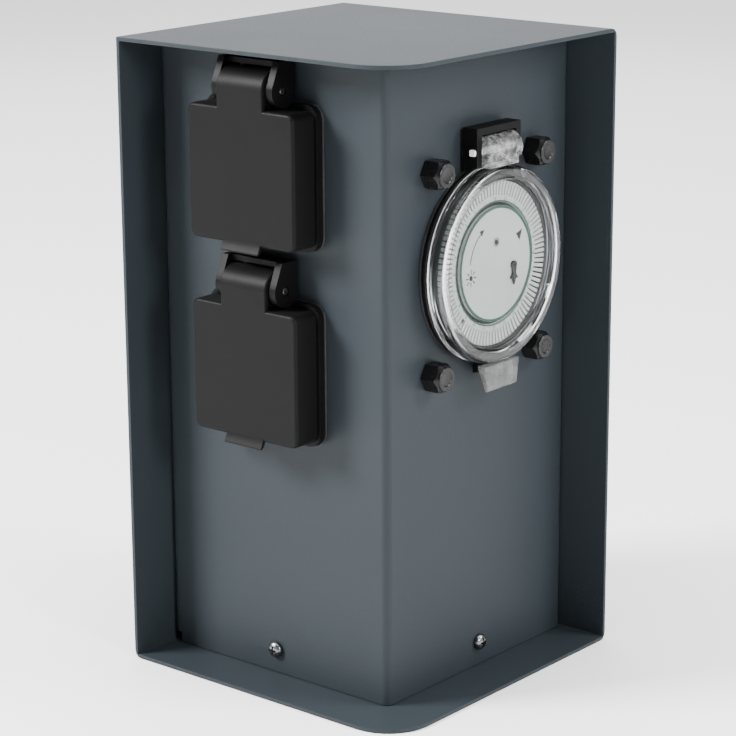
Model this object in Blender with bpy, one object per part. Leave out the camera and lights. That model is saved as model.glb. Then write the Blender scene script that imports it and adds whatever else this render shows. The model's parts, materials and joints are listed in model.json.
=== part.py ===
"""Timer-switched garden power column: a folded steel post with two lidded earthed sockets and a day timer.

Metres, +Z up. The origin is the centre of the footprint on the ground. The sockets face -Y and the timer
faces +X. Each fitting is drawn in its own frame, with "out" measured from the cover's outer face.
"""

import math

import bmesh
import bpy
from mathutils import Matrix, Vector

# Overall sizes of the column
WIDTH = 0.130
DEPTH = 0.130
HEIGHT = 0.240
SHEET = 0.0015
FOLD_RADIUS = 0.003
PLATE_CORNER_RADIUS = 0.018
RECESS = 0.020
GAP = 0.0003
RUNNING_GAP = 0.0004

# Front cover and its fixings
RETURN_FLANGE = 0.012
RELIEF_NOTCH = 0.004
COVER_SCREW_HEIGHT = 0.011
TAB_WIDTH = 0.016
TAB_FOOT = 0.014
SCREW_SHANK_RADIUS = 0.0017
SCREW_HEAD_RADIUS = 0.0031
SCREW_HEAD_HEIGHT = 0.0024

# Base plate
ANCHOR_HOLE_RADIUS = 0.0035
ANCHOR_INSET = 0.020
CABLE_HOLE_RADIUS = 0.010
CABLE_BORE_RADIUS = 0.005
CABLE_POINT = (-0.020, 0.044)
BUSH_HEIGHT = 0.009
BUSH_COLLAR = 0.003

# Earthed sockets
UPPER_SOCKET_HEIGHT = 0.1943
SOCKET_PITCH = 0.072
FLANGE_SIZE = 0.053
FLANGE_CORNER = 0.005
FLANGE_THICKNESS = 0.0028
GASKET_THICKNESS = 0.0008
WELL_RADIUS = 0.0195
WELL_WALL = 0.002
WELL_DEPTH = 0.0175
WELL_TAIL = 0.0065
INSERT_DEPTH = 0.0187
FIXING_SPACING = 0.038
PIN_SPACING = 0.019
PIN_HOLE_RADIUS = 0.0026
SLEEVE_RADIUS = 0.0031
CLIP_WIDTH = 0.006
CLIP_THICKNESS = 0.0008

# Socket lids
LID_WIDTH = 0.0505
LID_HEIGHT = 0.049
LID_FRONT = 0.0155
LID_WALL = 0.0020
LID_EDGE = 0.0012
LID_CORNER = 0.0030
TONGUE_WIDTH = 0.0218
BARREL_RADIUS = 0.0075
BARREL_WALL = 0.0022
KNUCKLE_LENGTH = 0.0024
LID_AXIS_RISE = 0.0065
EAR_THICKNESS = 0.0030
EAR_RADIUS = 0.0061
EAR_RISE = 0.0105
LIP_WIDTH = 0.018
LIP_DROP = 0.0045
LIP_FLARE = 0.0016
PIN_RADIUS = 0.0015
SPRING_WIRE_RADIUS = 0.0004
SPRING_RADIUS = 0.0030
SPRING_TURNS = 5
SEAL_WIDTH = 0.0024

# Day timer
TIMER_HEIGHT = 0.1591
STUD_SPACING_WIDE = 0.060
STUD_SPACING_TALL = 0.074
STUD_RADIUS = 0.0019
STUD_LENGTH = 0.0062
NUT_FLATS = 0.0100
NUT_LENGTH = 0.0085
NUT_CHAMFER = 0.0012
CASE_PLATE_MARGIN = 0.006
CASE_PLATE_THICKNESS = 0.0025
CASE_WALL = 0.0015
CASE_RADIUS = 0.0335
CASE_DEPTH = 0.029
COLLAR_RADIUS = 0.0323
COLLAR_WALL = 0.0013
COLLAR_FRONT = 0.0060
BEZEL_RADIUS = 0.0366
BEZEL_THICKNESS = 0.0012
HINGE_BLOCK_WIDTH = 0.026
HINGE_BLOCK_FRONT = 0.0080
HINGE_BLOCK_TOP = 0.0512
HINGE_BAR = 0.0026
TIMER_EAR_THICKNESS = 0.0029
TIMER_AXIS_OUT = 0.0062
TIMER_AXIS_UP = 0.0424
TIMER_KNUCKLE_RADIUS = 0.0056
TIMER_PIN_RADIUS = 0.0012
CLEAR_RADIUS = 0.0368
CLEAR_FRONT = 0.0108
CLEAR_WALL = 0.0016
CLEAR_EDGE = 0.0010
WINDOW_RADIUS = 0.0314
WINDOW_STEP = 0.0010
TAB_TOP_HALF_WIDTH = 0.0104
LATCH_LENGTH = 0.0095
LATCH_THICKNESS = 0.0040
LATCH_LIP = 0.0010

# Timer movement
DIAL_RADIUS = 0.0303
CARRIER_RADIUS = 0.0245
CARRIER_BACK = 0.0036
CARRIER_THICKNESS = 0.0014
HUB_RADIUS = 0.0050
ARBOR_RADIUS = 0.0025
TAPPETS = 96
TAPPET_SLOT = 0.0005
TAPPET_INNER = 0.0248
RING_INNER = 0.0226
RING_THICKNESS = 0.0012
TAPPET_TRAVEL = 0.0015
TAPPET_TAIL = 0.0025
LOOSE_TAPPET = 60
PLATE_RADIUS = 0.0213
PLATE_THICKNESS = 0.0012
POINTER_RADIUS = 0.0009
POINTER_OFFSET = 0.0080
OVERRIDE_POINT = (0.0100, -0.0020)
OVERRIDE_LENGTH = 0.0075
OVERRIDE_WIDTH = 0.0030
OVERRIDE_THICKNESS = 0.0008
GEAR_MODULE = 0.0005
DIAL_TEETH = 60
IDLER_TEETH = 40
PINION_TEETH = 12
GEAR_WIDTH = 0.0018
GEAR_BACK = -0.0040
AXLE_RADIUS = 0.0012
MOTOR_SHAFT = 0.0060
MOTOR_DISTANCE = 0.0165
MOTOR_ANGLE = math.radians(200)
SWITCH_SIZE = (0.0100, 0.0060, 0.0180)
SWITCH_POINT = (0.0190, 0.0)
SWITCH_LEVER_THICKNESS = 0.0008

# Terminals and wiring
TERMINAL_SIZE = (0.030, 0.018, 0.014)
TERMINAL_POINT = (-0.030, 0.005)
TERMINAL_HOLE_RADIUS = 0.0022
POLES = 3
EARTH_STUD_POINT = (0.012, 0.040)
EARTH_STUD_RADIUS = 0.0025
EARTH_STUD_HEIGHT = 0.014
WIRE_RADIUS = 0.0013
WIRE_STEP = 0.008

# How finely round shapes are drawn: the number of sides of large, middling and small ones
LARGE_ROUND = 36
MIDDLE_ROUND = 28
SMALL_ROUND = 16
HOLE_ROUND = 10
CURL_STEPS = 10
SPRING_STEPS = 8
SPRING_SIDES = 4
WIRE_SIDES = 6

# Places worked out from the sizes above
LEFT = -WIDTH / 2
RIGHT = WIDTH / 2
FRONT = -DEPTH / 2
BACK = DEPTH / 2
FACE_A = FRONT + RECESS
FACE_B = RIGHT - RECESS
COVER_LEFT = LEFT + SHEET + GAP
COVER_BACK = BACK - SHEET - GAP
SOCKET_X = (LEFT + SHEET + FACE_B) / 2
TIMER_Y = (FACE_A + BACK - SHEET) / 2
SOCKET_HEIGHTS = {"upper": UPPER_SOCKET_HEIGHT, "lower": UPPER_SOCKET_HEIGHT - SOCKET_PITCH}
FLANGE_BACK = GAP + GASKET_THICKNESS + GAP
FLANGE_FRONT = FLANGE_BACK + FLANGE_THICKNESS
WELL_FLOOR = FLANGE_FRONT - WELL_DEPTH
LID_BACK = FLANGE_FRONT + GAP
LID_AXIS_UP = LID_HEIGHT / 2 + LID_AXIS_RISE
LID_AXIS_OUT = LID_FRONT - BARREL_RADIUS
DIAL_FRONT = CARRIER_BACK + CARRIER_THICKNESS
RING_BACK = DIAL_FRONT + GAP
RING_FRONT = RING_BACK + RING_THICKNESS
PLATE_BACK = RING_BACK + GAP + GAP
PLATE_FRONT = PLATE_BACK + PLATE_THICKNESS
BEZEL_BACK = FLANGE_BACK
BEZEL_FRONT = BEZEL_BACK + BEZEL_THICKNESS
CASE_FRONT = -SHEET - GAP
CASE_BACK = -CASE_DEPTH
DIAL_GEAR_RADIUS = GEAR_MODULE * DIAL_TEETH / 2
PINION_RADIUS = GEAR_MODULE * PINION_TEETH / 2
IDLER_RADIUS = GEAR_MODULE * IDLER_TEETH / 2
MOTOR_RADIUS = IDLER_RADIUS + PINION_RADIUS - AXLE_RADIUS - 2 * GAP


# ---------------------------------------------------------------------------------------------------------
# Shape helpers. Outlines are lists of (u, v) points, and "axis" is the direction a shape is extruded along.
# ---------------------------------------------------------------------------------------------------------

AXES = {"X": (1, 2, 0), "Y": (0, 2, 1), "Z": (0, 1, 2)}


def clear_scene():
    for obj in list(bpy.data.objects):
        bpy.data.objects.remove(obj)


def material(name, colour, roughness, metallic=0.0, alpha=1.0):
    """A Principled material, made once for each name."""
    found = bpy.data.materials.get(name)
    if found:
        return found
    made = bpy.data.materials.new(name)
    made.use_nodes = True
    shader = made.node_tree.nodes["Principled BSDF"]
    shader.inputs["Base Color"].default_value = (*colour, 1.0)
    shader.inputs["Roughness"].default_value = roughness
    shader.inputs["Metallic"].default_value = metallic
    shader.inputs["Alpha"].default_value = alpha
    made.diffuse_color = (*colour, alpha)
    return made


def point_on(axis, u, v, height):
    """A 3-D point from two outline coordinates and a height along the axis."""
    place = [0.0, 0.0, 0.0]
    for index, value in zip(AXES[axis], (u, v, height)):
        place[index] = value
    return Vector(place)


def circle(radius, segments, centre=(0.0, 0.0)):
    turn = math.tau / segments
    return [
        (centre[0] + radius * math.cos(turn * i), centre[1] + radius * math.sin(turn * i))
        for i in range(segments)
    ]


def arc(centre, radius, start, end, steps):
    """Points on an arc, with both ends, for angles in degrees."""
    angles = [math.radians(start + (end - start) * i / steps) for i in range(steps + 1)]
    return [(centre[0] + radius * math.cos(a), centre[1] + radius * math.sin(a)) for a in angles]


def rounded_rectangle(width, height, radius, steps=3, centre=(0.0, 0.0)):
    half_w, half_h = width / 2 - radius, height / 2 - radius
    corners = ((half_w, half_h, 0), (-half_w, half_h, 90), (-half_w, -half_h, 180), (half_w, -half_h, 270))
    points = []
    for u, v, start in corners:
        points += arc((centre[0] + u, centre[1] + v), radius, start, start + 90, steps)
    return points


def hexagon(flats):
    return circle(flats / math.sqrt(3), 6)


def rectangle(u_low, u_high, v_low, v_high):
    return [(u_low, v_low), (u_high, v_low), (u_high, v_high), (u_low, v_high)]


def prism(outline, axis, low, high):
    """A closed outline extruded from low to high along an axis."""
    bm = bmesh.new()
    face = bm.faces.new([bm.verts.new(point_on(axis, u, v, low)) for u, v in outline])
    made = bmesh.ops.extrude_face_region(bm, geom=[face])
    moved = [item for item in made["geom"] if isinstance(item, bmesh.types.BMVert)]
    bmesh.ops.translate(bm, verts=moved, vec=point_on(axis, 0.0, 0.0, high - low))
    bmesh.ops.recalc_face_normals(bm, faces=bm.faces)
    return bm


def box(low, high):
    return prism(rectangle(low[0], high[0], low[1], high[1]), "Z", low[2], high[2])


def turned(profile, axis, segments, centre=(0.0, 0.0)):
    """A closed profile of (radius, height) points spun once round an axis."""
    bm = bmesh.new()
    base = point_on(axis, centre[0], centre[1], 0.0)
    verts = [bm.verts.new(base + point_on(axis, radius, 0.0, height)) for radius, height in profile]
    edges = []
    for i, (radius, _) in enumerate(profile):
        if radius or profile[i - 1][0]:
            edges.append(bm.edges.new((verts[i - 1], verts[i])))
    bmesh.ops.spin(
        bm,
        geom=verts + edges,
        cent=base,
        axis=point_on(axis, 0.0, 0.0, 1.0),
        angle=math.tau,
        steps=segments,
        use_merge=True,
    )
    bmesh.ops.remove_doubles(bm, verts=bm.verts, dist=1e-7)
    bmesh.ops.dissolve_degenerate(bm, edges=bm.edges, dist=1e-7)
    bmesh.ops.recalc_face_normals(bm, faces=bm.faces)
    return bm


def rod(radius, axis, low, high, segments=SMALL_ROUND, centre=(0.0, 0.0), chamfer=0.0):
    """A cylinder along an axis, with a chamfer at both ends."""
    profile = [(0.0, low), (radius - chamfer, low), (radius, low + chamfer)]
    profile += [(radius, high - chamfer), (radius - chamfer, high), (0.0, high)]
    if not chamfer:
        profile = [(0.0, low), (radius, low), (radius, high), (0.0, high)]
    return turned(profile, axis, segments, centre)


def ring(inner, outer, axis, low, high, segments=MIDDLE_ROUND, centre=(0.0, 0.0)):
    return turned([(inner, low), (outer, low), (outer, high), (inner, high)], axis, segments, centre)


def bevel_edges(bm, wanted, radius, segments):
    """Rounds the edges whose middle point passes the test."""
    edges = [edge for edge in bm.edges if wanted((edge.verts[0].co + edge.verts[1].co) / 2)]
    bmesh.ops.bevel(
        bm,
        geom=edges,
        offset=radius,
        offset_type="OFFSET",
        segments=segments,
        profile=0.5,
        affect="EDGES",
        clamp_overlap=True,
        material=-1,
    )
    return bm


def mesh_object(name, bm):
    mesh = bpy.data.meshes.new(name)
    bm.to_mesh(mesh)
    bm.free()
    obj = bpy.data.objects.new(name, mesh)
    bpy.context.scene.collection.objects.link(obj)
    return obj


def combined(operation, first, others):
    """One new bmesh from the Boolean of a shape with each of the others in turn."""
    target = mesh_object("shape", first)
    tools = [mesh_object("tool", other) for other in others]
    for tool in tools:
        modifier = target.modifiers.new("combine", "BOOLEAN")
        modifier.operation = operation
        modifier.solver = "EXACT"
        modifier.object = tool
    bpy.context.view_layer.update()
    evaluated = target.evaluated_get(bpy.context.evaluated_depsgraph_get())
    result = bmesh.new()
    result.from_mesh(evaluated.to_mesh())
    evaluated.to_mesh_clear()
    for obj in [target, *tools]:
        mesh = obj.data
        bpy.data.objects.remove(obj)
        bpy.data.meshes.remove(mesh)
    bmesh.ops.remove_doubles(result, verts=result.verts, dist=1e-7)
    bmesh.ops.dissolve_degenerate(result, edges=result.edges, dist=1e-7)
    return result


def joined(first, *others):
    return combined("UNION", first, others)


def cut(first, *others):
    return combined("DIFFERENCE", first, others)


def common(first, other):
    return combined("INTERSECT", first, [other])


def node(name, bm, finish, place=(0.0, 0.0, 0.0), origin=(0.0, 0.0, 0.0)):
    """Makes a named sub-part. The shape is drawn about "place", and "origin" becomes its turning point."""
    bmesh.ops.translate(bm, verts=bm.verts, vec=-Vector(origin))
    obj = mesh_object(name, bm)
    obj.location = Vector(place) + Vector(origin)
    obj.data.materials.append(finish)
    obj.data.shade_smooth()
    obj.data.set_sharp_from_angle(angle=math.radians(35))
    return obj


def pan_screw(axis, outward, head_back, length, shank=SCREW_SHANK_RADIUS, head=SCREW_HEAD_RADIUS):
    """A screw with a domed head. "outward" is +1 or -1, and the head's underside is at head_back."""
    def at(distance):
        return outward * (head_back + distance)

    height = SCREW_HEAD_HEIGHT
    profile = [(0.0, at(-length)), (shank, at(-length)), (shank, at(0.0)), (head, at(0.0))]
    profile += [(head, at(0.3 * height)), (0.8 * head, at(0.8 * height)), (0.4 * head, at(height))]
    profile += [(0.0, at(height))]
    body = turned(profile, axis, SMALL_ROUND - 4)
    slot = 0.12 * head
    reach = 0.55 * head
    lows, highs = sorted((at(0.6 * height), at(1.5 * height)))
    across = prism(rectangle(-slot, slot, -reach, reach), axis, lows, highs)
    along = prism(rectangle(-reach, reach, -slot, slot), axis, lows, highs)
    return cut(body, across, along)


def tube_along(points, radius, sides):
    """A closed tube that follows a list of points, with flat ends."""
    bm = bmesh.new()
    rings = []
    side = None
    for i, here in enumerate(points):
        before = points[max(i - 1, 0)]
        after = points[min(i + 1, len(points) - 1)]
        ahead = (after - before).normalized()
        side = ahead.orthogonal() if side is None else side - ahead * side.dot(ahead)
        side.normalize()
        other = ahead.cross(side)
        turns = [math.tau * k / sides for k in range(sides)]
        rings.append(
            [bm.verts.new(here + radius * (side * math.cos(a) + other * math.sin(a))) for a in turns]
        )
    for low, high in zip(rings, rings[1:]):
        for k in range(sides):
            bm.faces.new((low[k], low[k - 1], high[k - 1], high[k]))
    bm.faces.new(rings[0])
    bm.faces.new(rings[-1])
    bmesh.ops.recalc_face_normals(bm, faces=bm.faces)
    return bm


def smooth_route(stops, step):
    """Points at a nearly even spacing on a smooth curve through the stops."""
    ends = [stops[0] * 2 - stops[1], *stops, stops[-1] * 2 - stops[-2]]
    points = []
    for a, b, c, d in zip(ends, ends[1:], ends[2:], ends[3:]):
        count = max(2, round((c - b).length / step))
        for i in range(count):
            t = i / count
            near = b * 2 + (c - a) * t + (a * 2 - b * 5 + c * 4 - d) * t**2
            points.append((near + (b * 3 - a - c * 3 + d) * t**3) / 2)
    return [*points, stops[-1]]


def gear_outline(teeth, module, phase=0.0):
    """Straight-flanked teeth, thinned a little so that a meshing pair runs with backlash."""
    pitch = module * teeth / 2
    root, tip = pitch - 1.3 * module, pitch + 0.8 * module
    points = []
    for i in range(2 * teeth):
        angle = phase + math.pi / teeth * i
        radius = root if i % 2 else tip
        points.append((radius * math.cos(angle), radius * math.sin(angle)))
    return points


# ---------------------------------------------------------------------------------------------------------
# Finishes
# ---------------------------------------------------------------------------------------------------------

POWDER_COAT = material("powder_coat", (0.075, 0.095, 0.105), 0.45)
BLACK_PLASTIC = material("black_plastic", (0.020, 0.020, 0.021), 0.42)
BLACK_RUBBER = material("black_rubber", (0.015, 0.015, 0.015), 0.75)
CLEAR_PLASTIC = material("clear_plastic", (0.90, 0.92, 0.93), 0.08, alpha=0.25)
WHITE_PLASTIC = material("white_plastic", (0.85, 0.87, 0.86), 0.40)
GREY_PLASTIC = material("grey_plastic", (0.45, 0.46, 0.47), 0.50)
SCREW_STEEL = material("screw_steel", (0.30, 0.31, 0.32), 0.25, 1.0)
SPRING_STEEL = material("spring_steel", (0.62, 0.63, 0.64), 0.28, 1.0)
BRASS = material("brass", (0.78, 0.58, 0.25), 0.30, 1.0)
BROWN_WIRE = material("brown_wire", (0.16, 0.07, 0.03), 0.50)
BLUE_WIRE = material("blue_wire", (0.03, 0.12, 0.45), 0.50)
GREEN_WIRE = material("green_wire", (0.10, 0.35, 0.06), 0.50)
BLACK_WIRE = material("black_wire", (0.02, 0.02, 0.02), 0.50)


# ---------------------------------------------------------------------------------------------------------
# Steel column
# ---------------------------------------------------------------------------------------------------------


def outer_shell():
    """Base, top, left wall and rear wall, folded from one sheet. The other two sides are open."""
    block = box((LEFT, FRONT, 0.0), (RIGHT, BACK, HEIGHT))
    near = SHEET / 10

    def is_fold(middle):
        on_left = abs(middle.x - LEFT) < near
        on_back = abs(middle.y - BACK) < near
        low, high = abs(middle.z) < near, abs(middle.z - HEIGHT) < near
        return (on_left and low) or (on_back and (low or high)) or (on_left and on_back)

    def is_front_corner(middle):
        return abs(middle.x - RIGHT) < near and abs(middle.y - FRONT) < near

    bevel_edges(block, is_front_corner, PLATE_CORNER_RADIUS, 8)
    bevel_edges(block, is_fold, FOLD_RADIUS, 3)
    hollow_right, hollow_front = RIGHT + SHEET, FRONT - SHEET
    hollow = box(
        (LEFT + SHEET, hollow_front, SHEET), (hollow_right, BACK - SHEET, HEIGHT - SHEET)
    )
    holes = []
    for x in (LEFT + SHEET + ANCHOR_INSET, FACE_B - ANCHOR_INSET):
        for y in (FACE_A + ANCHOR_INSET, BACK - SHEET - ANCHOR_INSET):
            holes.append(rod(ANCHOR_HOLE_RADIUS, "Z", -SHEET, 2 * SHEET, SMALL_ROUND, (x, y)))
    holes.append(rod(CABLE_HOLE_RADIUS, "Z", -SHEET, 2 * SHEET, MIDDLE_ROUND, CABLE_POINT))
    node("outer_shell", cut(block, hollow, *holes), POWDER_COAT)


def folded_outline(corners, thickness, radius, steps=4):
    """The cross-section of a sheet folded to the left at each inner corner of its outer line."""
    outer, inner = [], []
    stops = [Vector(corner) for corner in corners]
    turn_left = Matrix.Rotation(math.pi / 2, 2)
    for i, stop in enumerate(stops):
        into = (stop - stops[i - 1]).normalized() if i else (stops[1] - stop).normalized()
        away = (stops[i + 1] - stop).normalized() if i + 1 < len(stops) else into
        if i in (0, len(stops) - 1):
            outer.append(tuple(stop))
            inner.append(tuple(stop + turn_left @ into * thickness))
            continue
        centre = stop - into * radius + away * radius
        start = math.degrees(math.atan2(-away.y, -away.x))
        outer += arc(centre, radius, start, start + 90, steps)
        inner += arc(centre, radius - thickness, start, start + 90, steps)
    return outer + inner[::-1]


def front_cover():
    """The removable folded panel that carries the sockets and the timer."""
    line = [
        (COVER_LEFT, FACE_A + RETURN_FLANGE),
        (COVER_LEFT, FACE_A),
        (FACE_B, FACE_A),
        (FACE_B, COVER_BACK),
        (FACE_B - RETURN_FLANGE, COVER_BACK),
    ]
    low, high = SHEET + GAP, HEIGHT - SHEET - GAP
    sheet = prism(folded_outline(line, SHEET, FOLD_RADIUS), "Z", low, high)
    through_a = (FACE_A - SHEET, FACE_A + 2 * SHEET)
    through_b = (FACE_B - 2 * SHEET, FACE_B + SHEET)
    holes = []
    for height in SOCKET_HEIGHTS.values():
        well = WELL_RADIUS + WELL_WALL + RUNNING_GAP
        holes.append(rod(well, "Y", *through_a, MIDDLE_ROUND, (SOCKET_X, height)))
        for side in (-1, 1):
            point = (SOCKET_X + side * FIXING_SPACING / 2, height - side * FIXING_SPACING / 2)
            holes.append(rod(SCREW_SHANK_RADIUS + GAP, "Y", *through_a, HOLE_ROUND, point))
    holes.append(rod(COLLAR_RADIUS + RUNNING_GAP, "X", *through_b, LARGE_ROUND, (TIMER_Y, TIMER_HEIGHT)))
    for y, z in stud_points():
        holes.append(rod(STUD_RADIUS + GAP, "X", *through_b, HOLE_ROUND, (TIMER_Y + y, TIMER_HEIGHT + z)))
    shank_hole = SCREW_SHANK_RADIUS + GAP
    holes.append(rod(shank_hole, "Y", *through_a, HOLE_ROUND, (SOCKET_X, COVER_SCREW_HEIGHT)))
    holes.append(rod(shank_hole, "X", *through_b, HOLE_ROUND, (TIMER_Y, COVER_SCREW_HEIGHT)))
    notch_right = COVER_LEFT + RELIEF_NOTCH
    notch_back = FACE_A + RETURN_FLANGE + SHEET
    holes.append(
        box((COVER_LEFT - SHEET, FACE_A - SHEET, 0.0), (notch_right, notch_back, low + RELIEF_NOTCH))
    )
    node("front_cover", cut(sheet, *holes), POWDER_COAT)


def stud_points():
    """The timer's four fixing studs, counted round from the upper left, about the dial's centre."""
    wide, tall = STUD_SPACING_WIDE / 2, STUD_SPACING_TALL / 2
    return ((-wide, tall), (wide, tall), (-wide, -tall), (wide, -tall))


def cover_fixing(name, turn, place):
    """An angle tab welded to the base behind the cover, and the screw that holds the cover to it."""
    foot = SHEET + GAP
    top = 2 * COVER_SCREW_HEIGHT - SHEET
    back = SHEET + GAP
    outline = [
        (back, foot),
        (back + TAB_FOOT, foot),
        (back + TAB_FOOT, foot + SHEET),
        (back + SHEET, foot + SHEET),
        (back + SHEET, top),
        (back, top),
    ]
    tab = prism(outline, "X", -TAB_WIDTH / 2, TAB_WIDTH / 2)
    hole = rod(SCREW_SHANK_RADIUS + GAP, "Y", 0.0, 4 * SHEET, HOLE_ROUND, (0.0, COVER_SCREW_HEIGHT))
    screw = pan_screw("Y", -1, GAP, 4 * SHEET)
    bmesh.ops.translate(screw, verts=screw.verts, vec=(0.0, 0.0, COVER_SCREW_HEIGHT))
    for label, shape, finish in (
        ("cover_tab_" + name, cut(tab, hole), POWDER_COAT),
        ("cover_screw_" + name, screw, SCREW_STEEL),
    ):
        bmesh.ops.rotate(shape, verts=shape.verts, matrix=Matrix.Rotation(turn, 3, "Z"))
        node(label, shape, finish, place)


def cable_bush():
    """A stepped rubber bush that lines the cable hole in the base."""
    neck = CABLE_HOLE_RADIUS - GAP
    collar = CABLE_HOLE_RADIUS + BUSH_COLLAR
    step = SHEET + GAP
    profile = [(CABLE_BORE_RADIUS, GAP), (neck, GAP), (neck, step), (collar, step)]
    profile += [(collar, 2 * step), (neck - SHEET, BUSH_HEIGHT), (CABLE_BORE_RADIUS, BUSH_HEIGHT)]
    bush = turned(profile, "Z", MIDDLE_ROUND)
    node("cable_bush", bush, BLACK_RUBBER, (*CABLE_POINT, 0.0))


def terminal_block():
    """A three-pole block on the base, with a way through for each wire and a screw pit above it."""
    length, width, height = TERMINAL_SIZE
    floor = SHEET + GAP
    block = box((-length / 2, -width / 2, floor), (length / 2, width / 2, floor + height))
    cuts = []
    for x in pole_offsets():
        middle = (x, floor + height / 3)
        cuts.append(rod(TERMINAL_HOLE_RADIUS, "Y", -width, width, HOLE_ROUND, middle))
        cuts.append(rod(TERMINAL_HOLE_RADIUS, "Z", floor + height / 2, 2 * height, HOLE_ROUND, (x, 0.0)))
    node("terminal_block", cut(block, *cuts), WHITE_PLASTIC, (*TERMINAL_POINT, 0.0))


def pole_offsets():
    spacing = TERMINAL_SIZE[0] / POLES
    return [spacing * (i - (POLES - 1) / 2) for i in range(POLES)]


def earth_stud():
    """A welded stud on the base with its washer and nut, which bonds the steel to the earth wire."""
    floor = SHEET + GAP
    stud = rod(EARTH_STUD_RADIUS, "Z", floor, floor + EARTH_STUD_HEIGHT, SMALL_ROUND - 4, chamfer=SHEET / 3)
    washer = rod(2 * EARTH_STUD_RADIUS, "Z", floor + SHEET, floor + 2 * SHEET, SMALL_ROUND)
    nut = prism(hexagon(3.2 * EARTH_STUD_RADIUS), "Z", floor + 1.9 * SHEET, floor + 4 * SHEET)
    node("earth_stud", joined(stud, washer, nut), BRASS, (*EARTH_STUD_POINT, 0.0))


# ---------------------------------------------------------------------------------------------------------
# Earthed sockets. Drawn with x across, z up and y = -out, about the socket's centre on the cover's face.
# ---------------------------------------------------------------------------------------------------------


def socket_frame(name, place):
    """Flange, round well, and the two ears with a bridge over them that carry the lid's hinge pin."""
    flange = prism(
        rounded_rectangle(FLANGE_SIZE, FLANGE_SIZE, FLANGE_CORNER), "Y", -FLANGE_FRONT, -FLANGE_BACK
    )
    outside = WELL_RADIUS + WELL_WALL
    tail = -(WELL_FLOOR - WELL_TAIL)
    barrel = rod(outside, "Y", -(FLANGE_BACK + FLANGE_THICKNESS / 2), tail, MIDDLE_ROUND)
    ears = []
    for side in (-1, 1):
        inner = TONGUE_WIDTH / 2 + 2 * GAP
        low, high = sorted((side * inner, side * (inner + EAR_THICKNESS)))
        ears.append(prism(ear_outline(), "X", low, high))
    span = TONGUE_WIDTH / 2 + EAR_THICKNESS / 2
    bridge_low = LID_AXIS_UP + BARREL_RADIUS + RUNNING_GAP + GAP
    bridge_top = LID_AXIS_UP + EAR_RISE - GAP
    bridge = box((-span, -LID_AXIS_OUT, bridge_low), (span, -FLANGE_BACK - 2 * GAP, bridge_top))
    bore = rod(WELL_RADIUS, "Y", -2 * FLANGE_FRONT, 2 * tail, MIDDLE_ROUND)
    axis = (-LID_AXIS_OUT, LID_AXIS_UP)
    pin_hole = rod(PIN_RADIUS + GAP, "X", -FLANGE_SIZE, FLANGE_SIZE, HOLE_ROUND, axis)
    half_room = TONGUE_WIDTH / 2 + GAP
    barrel_room = rod(BARREL_RADIUS + RUNNING_GAP, "X", -half_room, half_room, MIDDLE_ROUND, axis)
    holes = [bore, pin_hole, barrel_room]
    for side in (-1, 1):
        point = (side * FIXING_SPACING / 2, -side * FIXING_SPACING / 2)
        holes.append(rod(SCREW_SHANK_RADIUS + GAP, "Y", -2 * FLANGE_FRONT, 2 * tail, HOLE_ROUND, point))
    whole = joined(joined(flange, barrel, *ears), bridge)
    node(name + "_socket_frame", cut(whole, *holes), BLACK_PLASTIC, place)


def ear_outline():
    """The side view of a hinge ear as (y, z): a foot on the flange, and a head that the lid swings round."""
    axis = (-LID_AXIS_OUT, LID_AXIS_UP)
    back = -FLANGE_BACK - GAP
    foot = FLANGE_SIZE / 2 - FLANGE_THICKNESS
    head = arc(axis, EAR_RADIUS, 310, 145, CURL_STEPS)
    top = LID_AXIS_UP + EAR_RISE
    return [(back, foot), (GAP - FLANGE_FRONT, foot), *head, (axis[0] - EAR_RADIUS / 3, top), (back, top)]


def socket_gasket(name, place):
    outline = rounded_rectangle(FLANGE_SIZE, FLANGE_SIZE, FLANGE_CORNER)
    sheet = prism(outline, "Y", -GAP - GASKET_THICKNESS, -GAP)
    outside = WELL_RADIUS + WELL_WALL + RUNNING_GAP
    holes = [rod(outside, "Y", -2 * GASKET_THICKNESS, 2 * GASKET_THICKNESS, MIDDLE_ROUND)]
    for side in (-1, 1):
        point = (side * FIXING_SPACING / 2, -side * FIXING_SPACING / 2)
        reach = 2 * GASKET_THICKNESS
        holes.append(rod(SCREW_SHANK_RADIUS + GAP, "Y", -reach, reach, HOLE_ROUND, point))
    node(name + "_socket_gasket", cut(sheet, *holes), BLACK_RUBBER, place)


def socket_insert(name, place):
    """The round block at the bottom of the well, which holds the contacts."""
    radius = WELL_RADIUS - GAP
    front, back = -WELL_FLOOR, -WELL_FLOOR + INSERT_DEPTH
    block = rod(radius, "Y", front, back, MIDDLE_ROUND)
    holes = [rod(SCREW_SHANK_RADIUS + GAP, "Y", front - GAP, front + INSERT_DEPTH / 2, HOLE_ROUND)]
    for side in (-1, 1):
        middle = (side * PIN_SPACING / 2, 0.0)
        holes.append(rod(SLEEVE_RADIUS + GAP, "Y", front + SHEET, back + SHEET, SMALL_ROUND, middle))
        holes.append(rod(PIN_HOLE_RADIUS, "Y", front - SHEET, front + 2 * SHEET, SMALL_ROUND, middle))
    node(name + "_socket_insert", cut(block, *holes), BLACK_PLASTIC, place)


def contact_sleeves(name, place):
    front = -WELL_FLOOR + SHEET + GAP
    length = INSERT_DEPTH - SHEET - 2 * GAP
    for side, pole in ((-1, "live"), (1, "neutral")):
        middle = (side * PIN_SPACING / 2, 0.0)
        shape = ring(PIN_HOLE_RADIUS, SLEEVE_RADIUS, "Y", front, front + length, SMALL_ROUND, middle)
        node(f"{name}_contact_{pole}", shape, BRASS, place)


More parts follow.
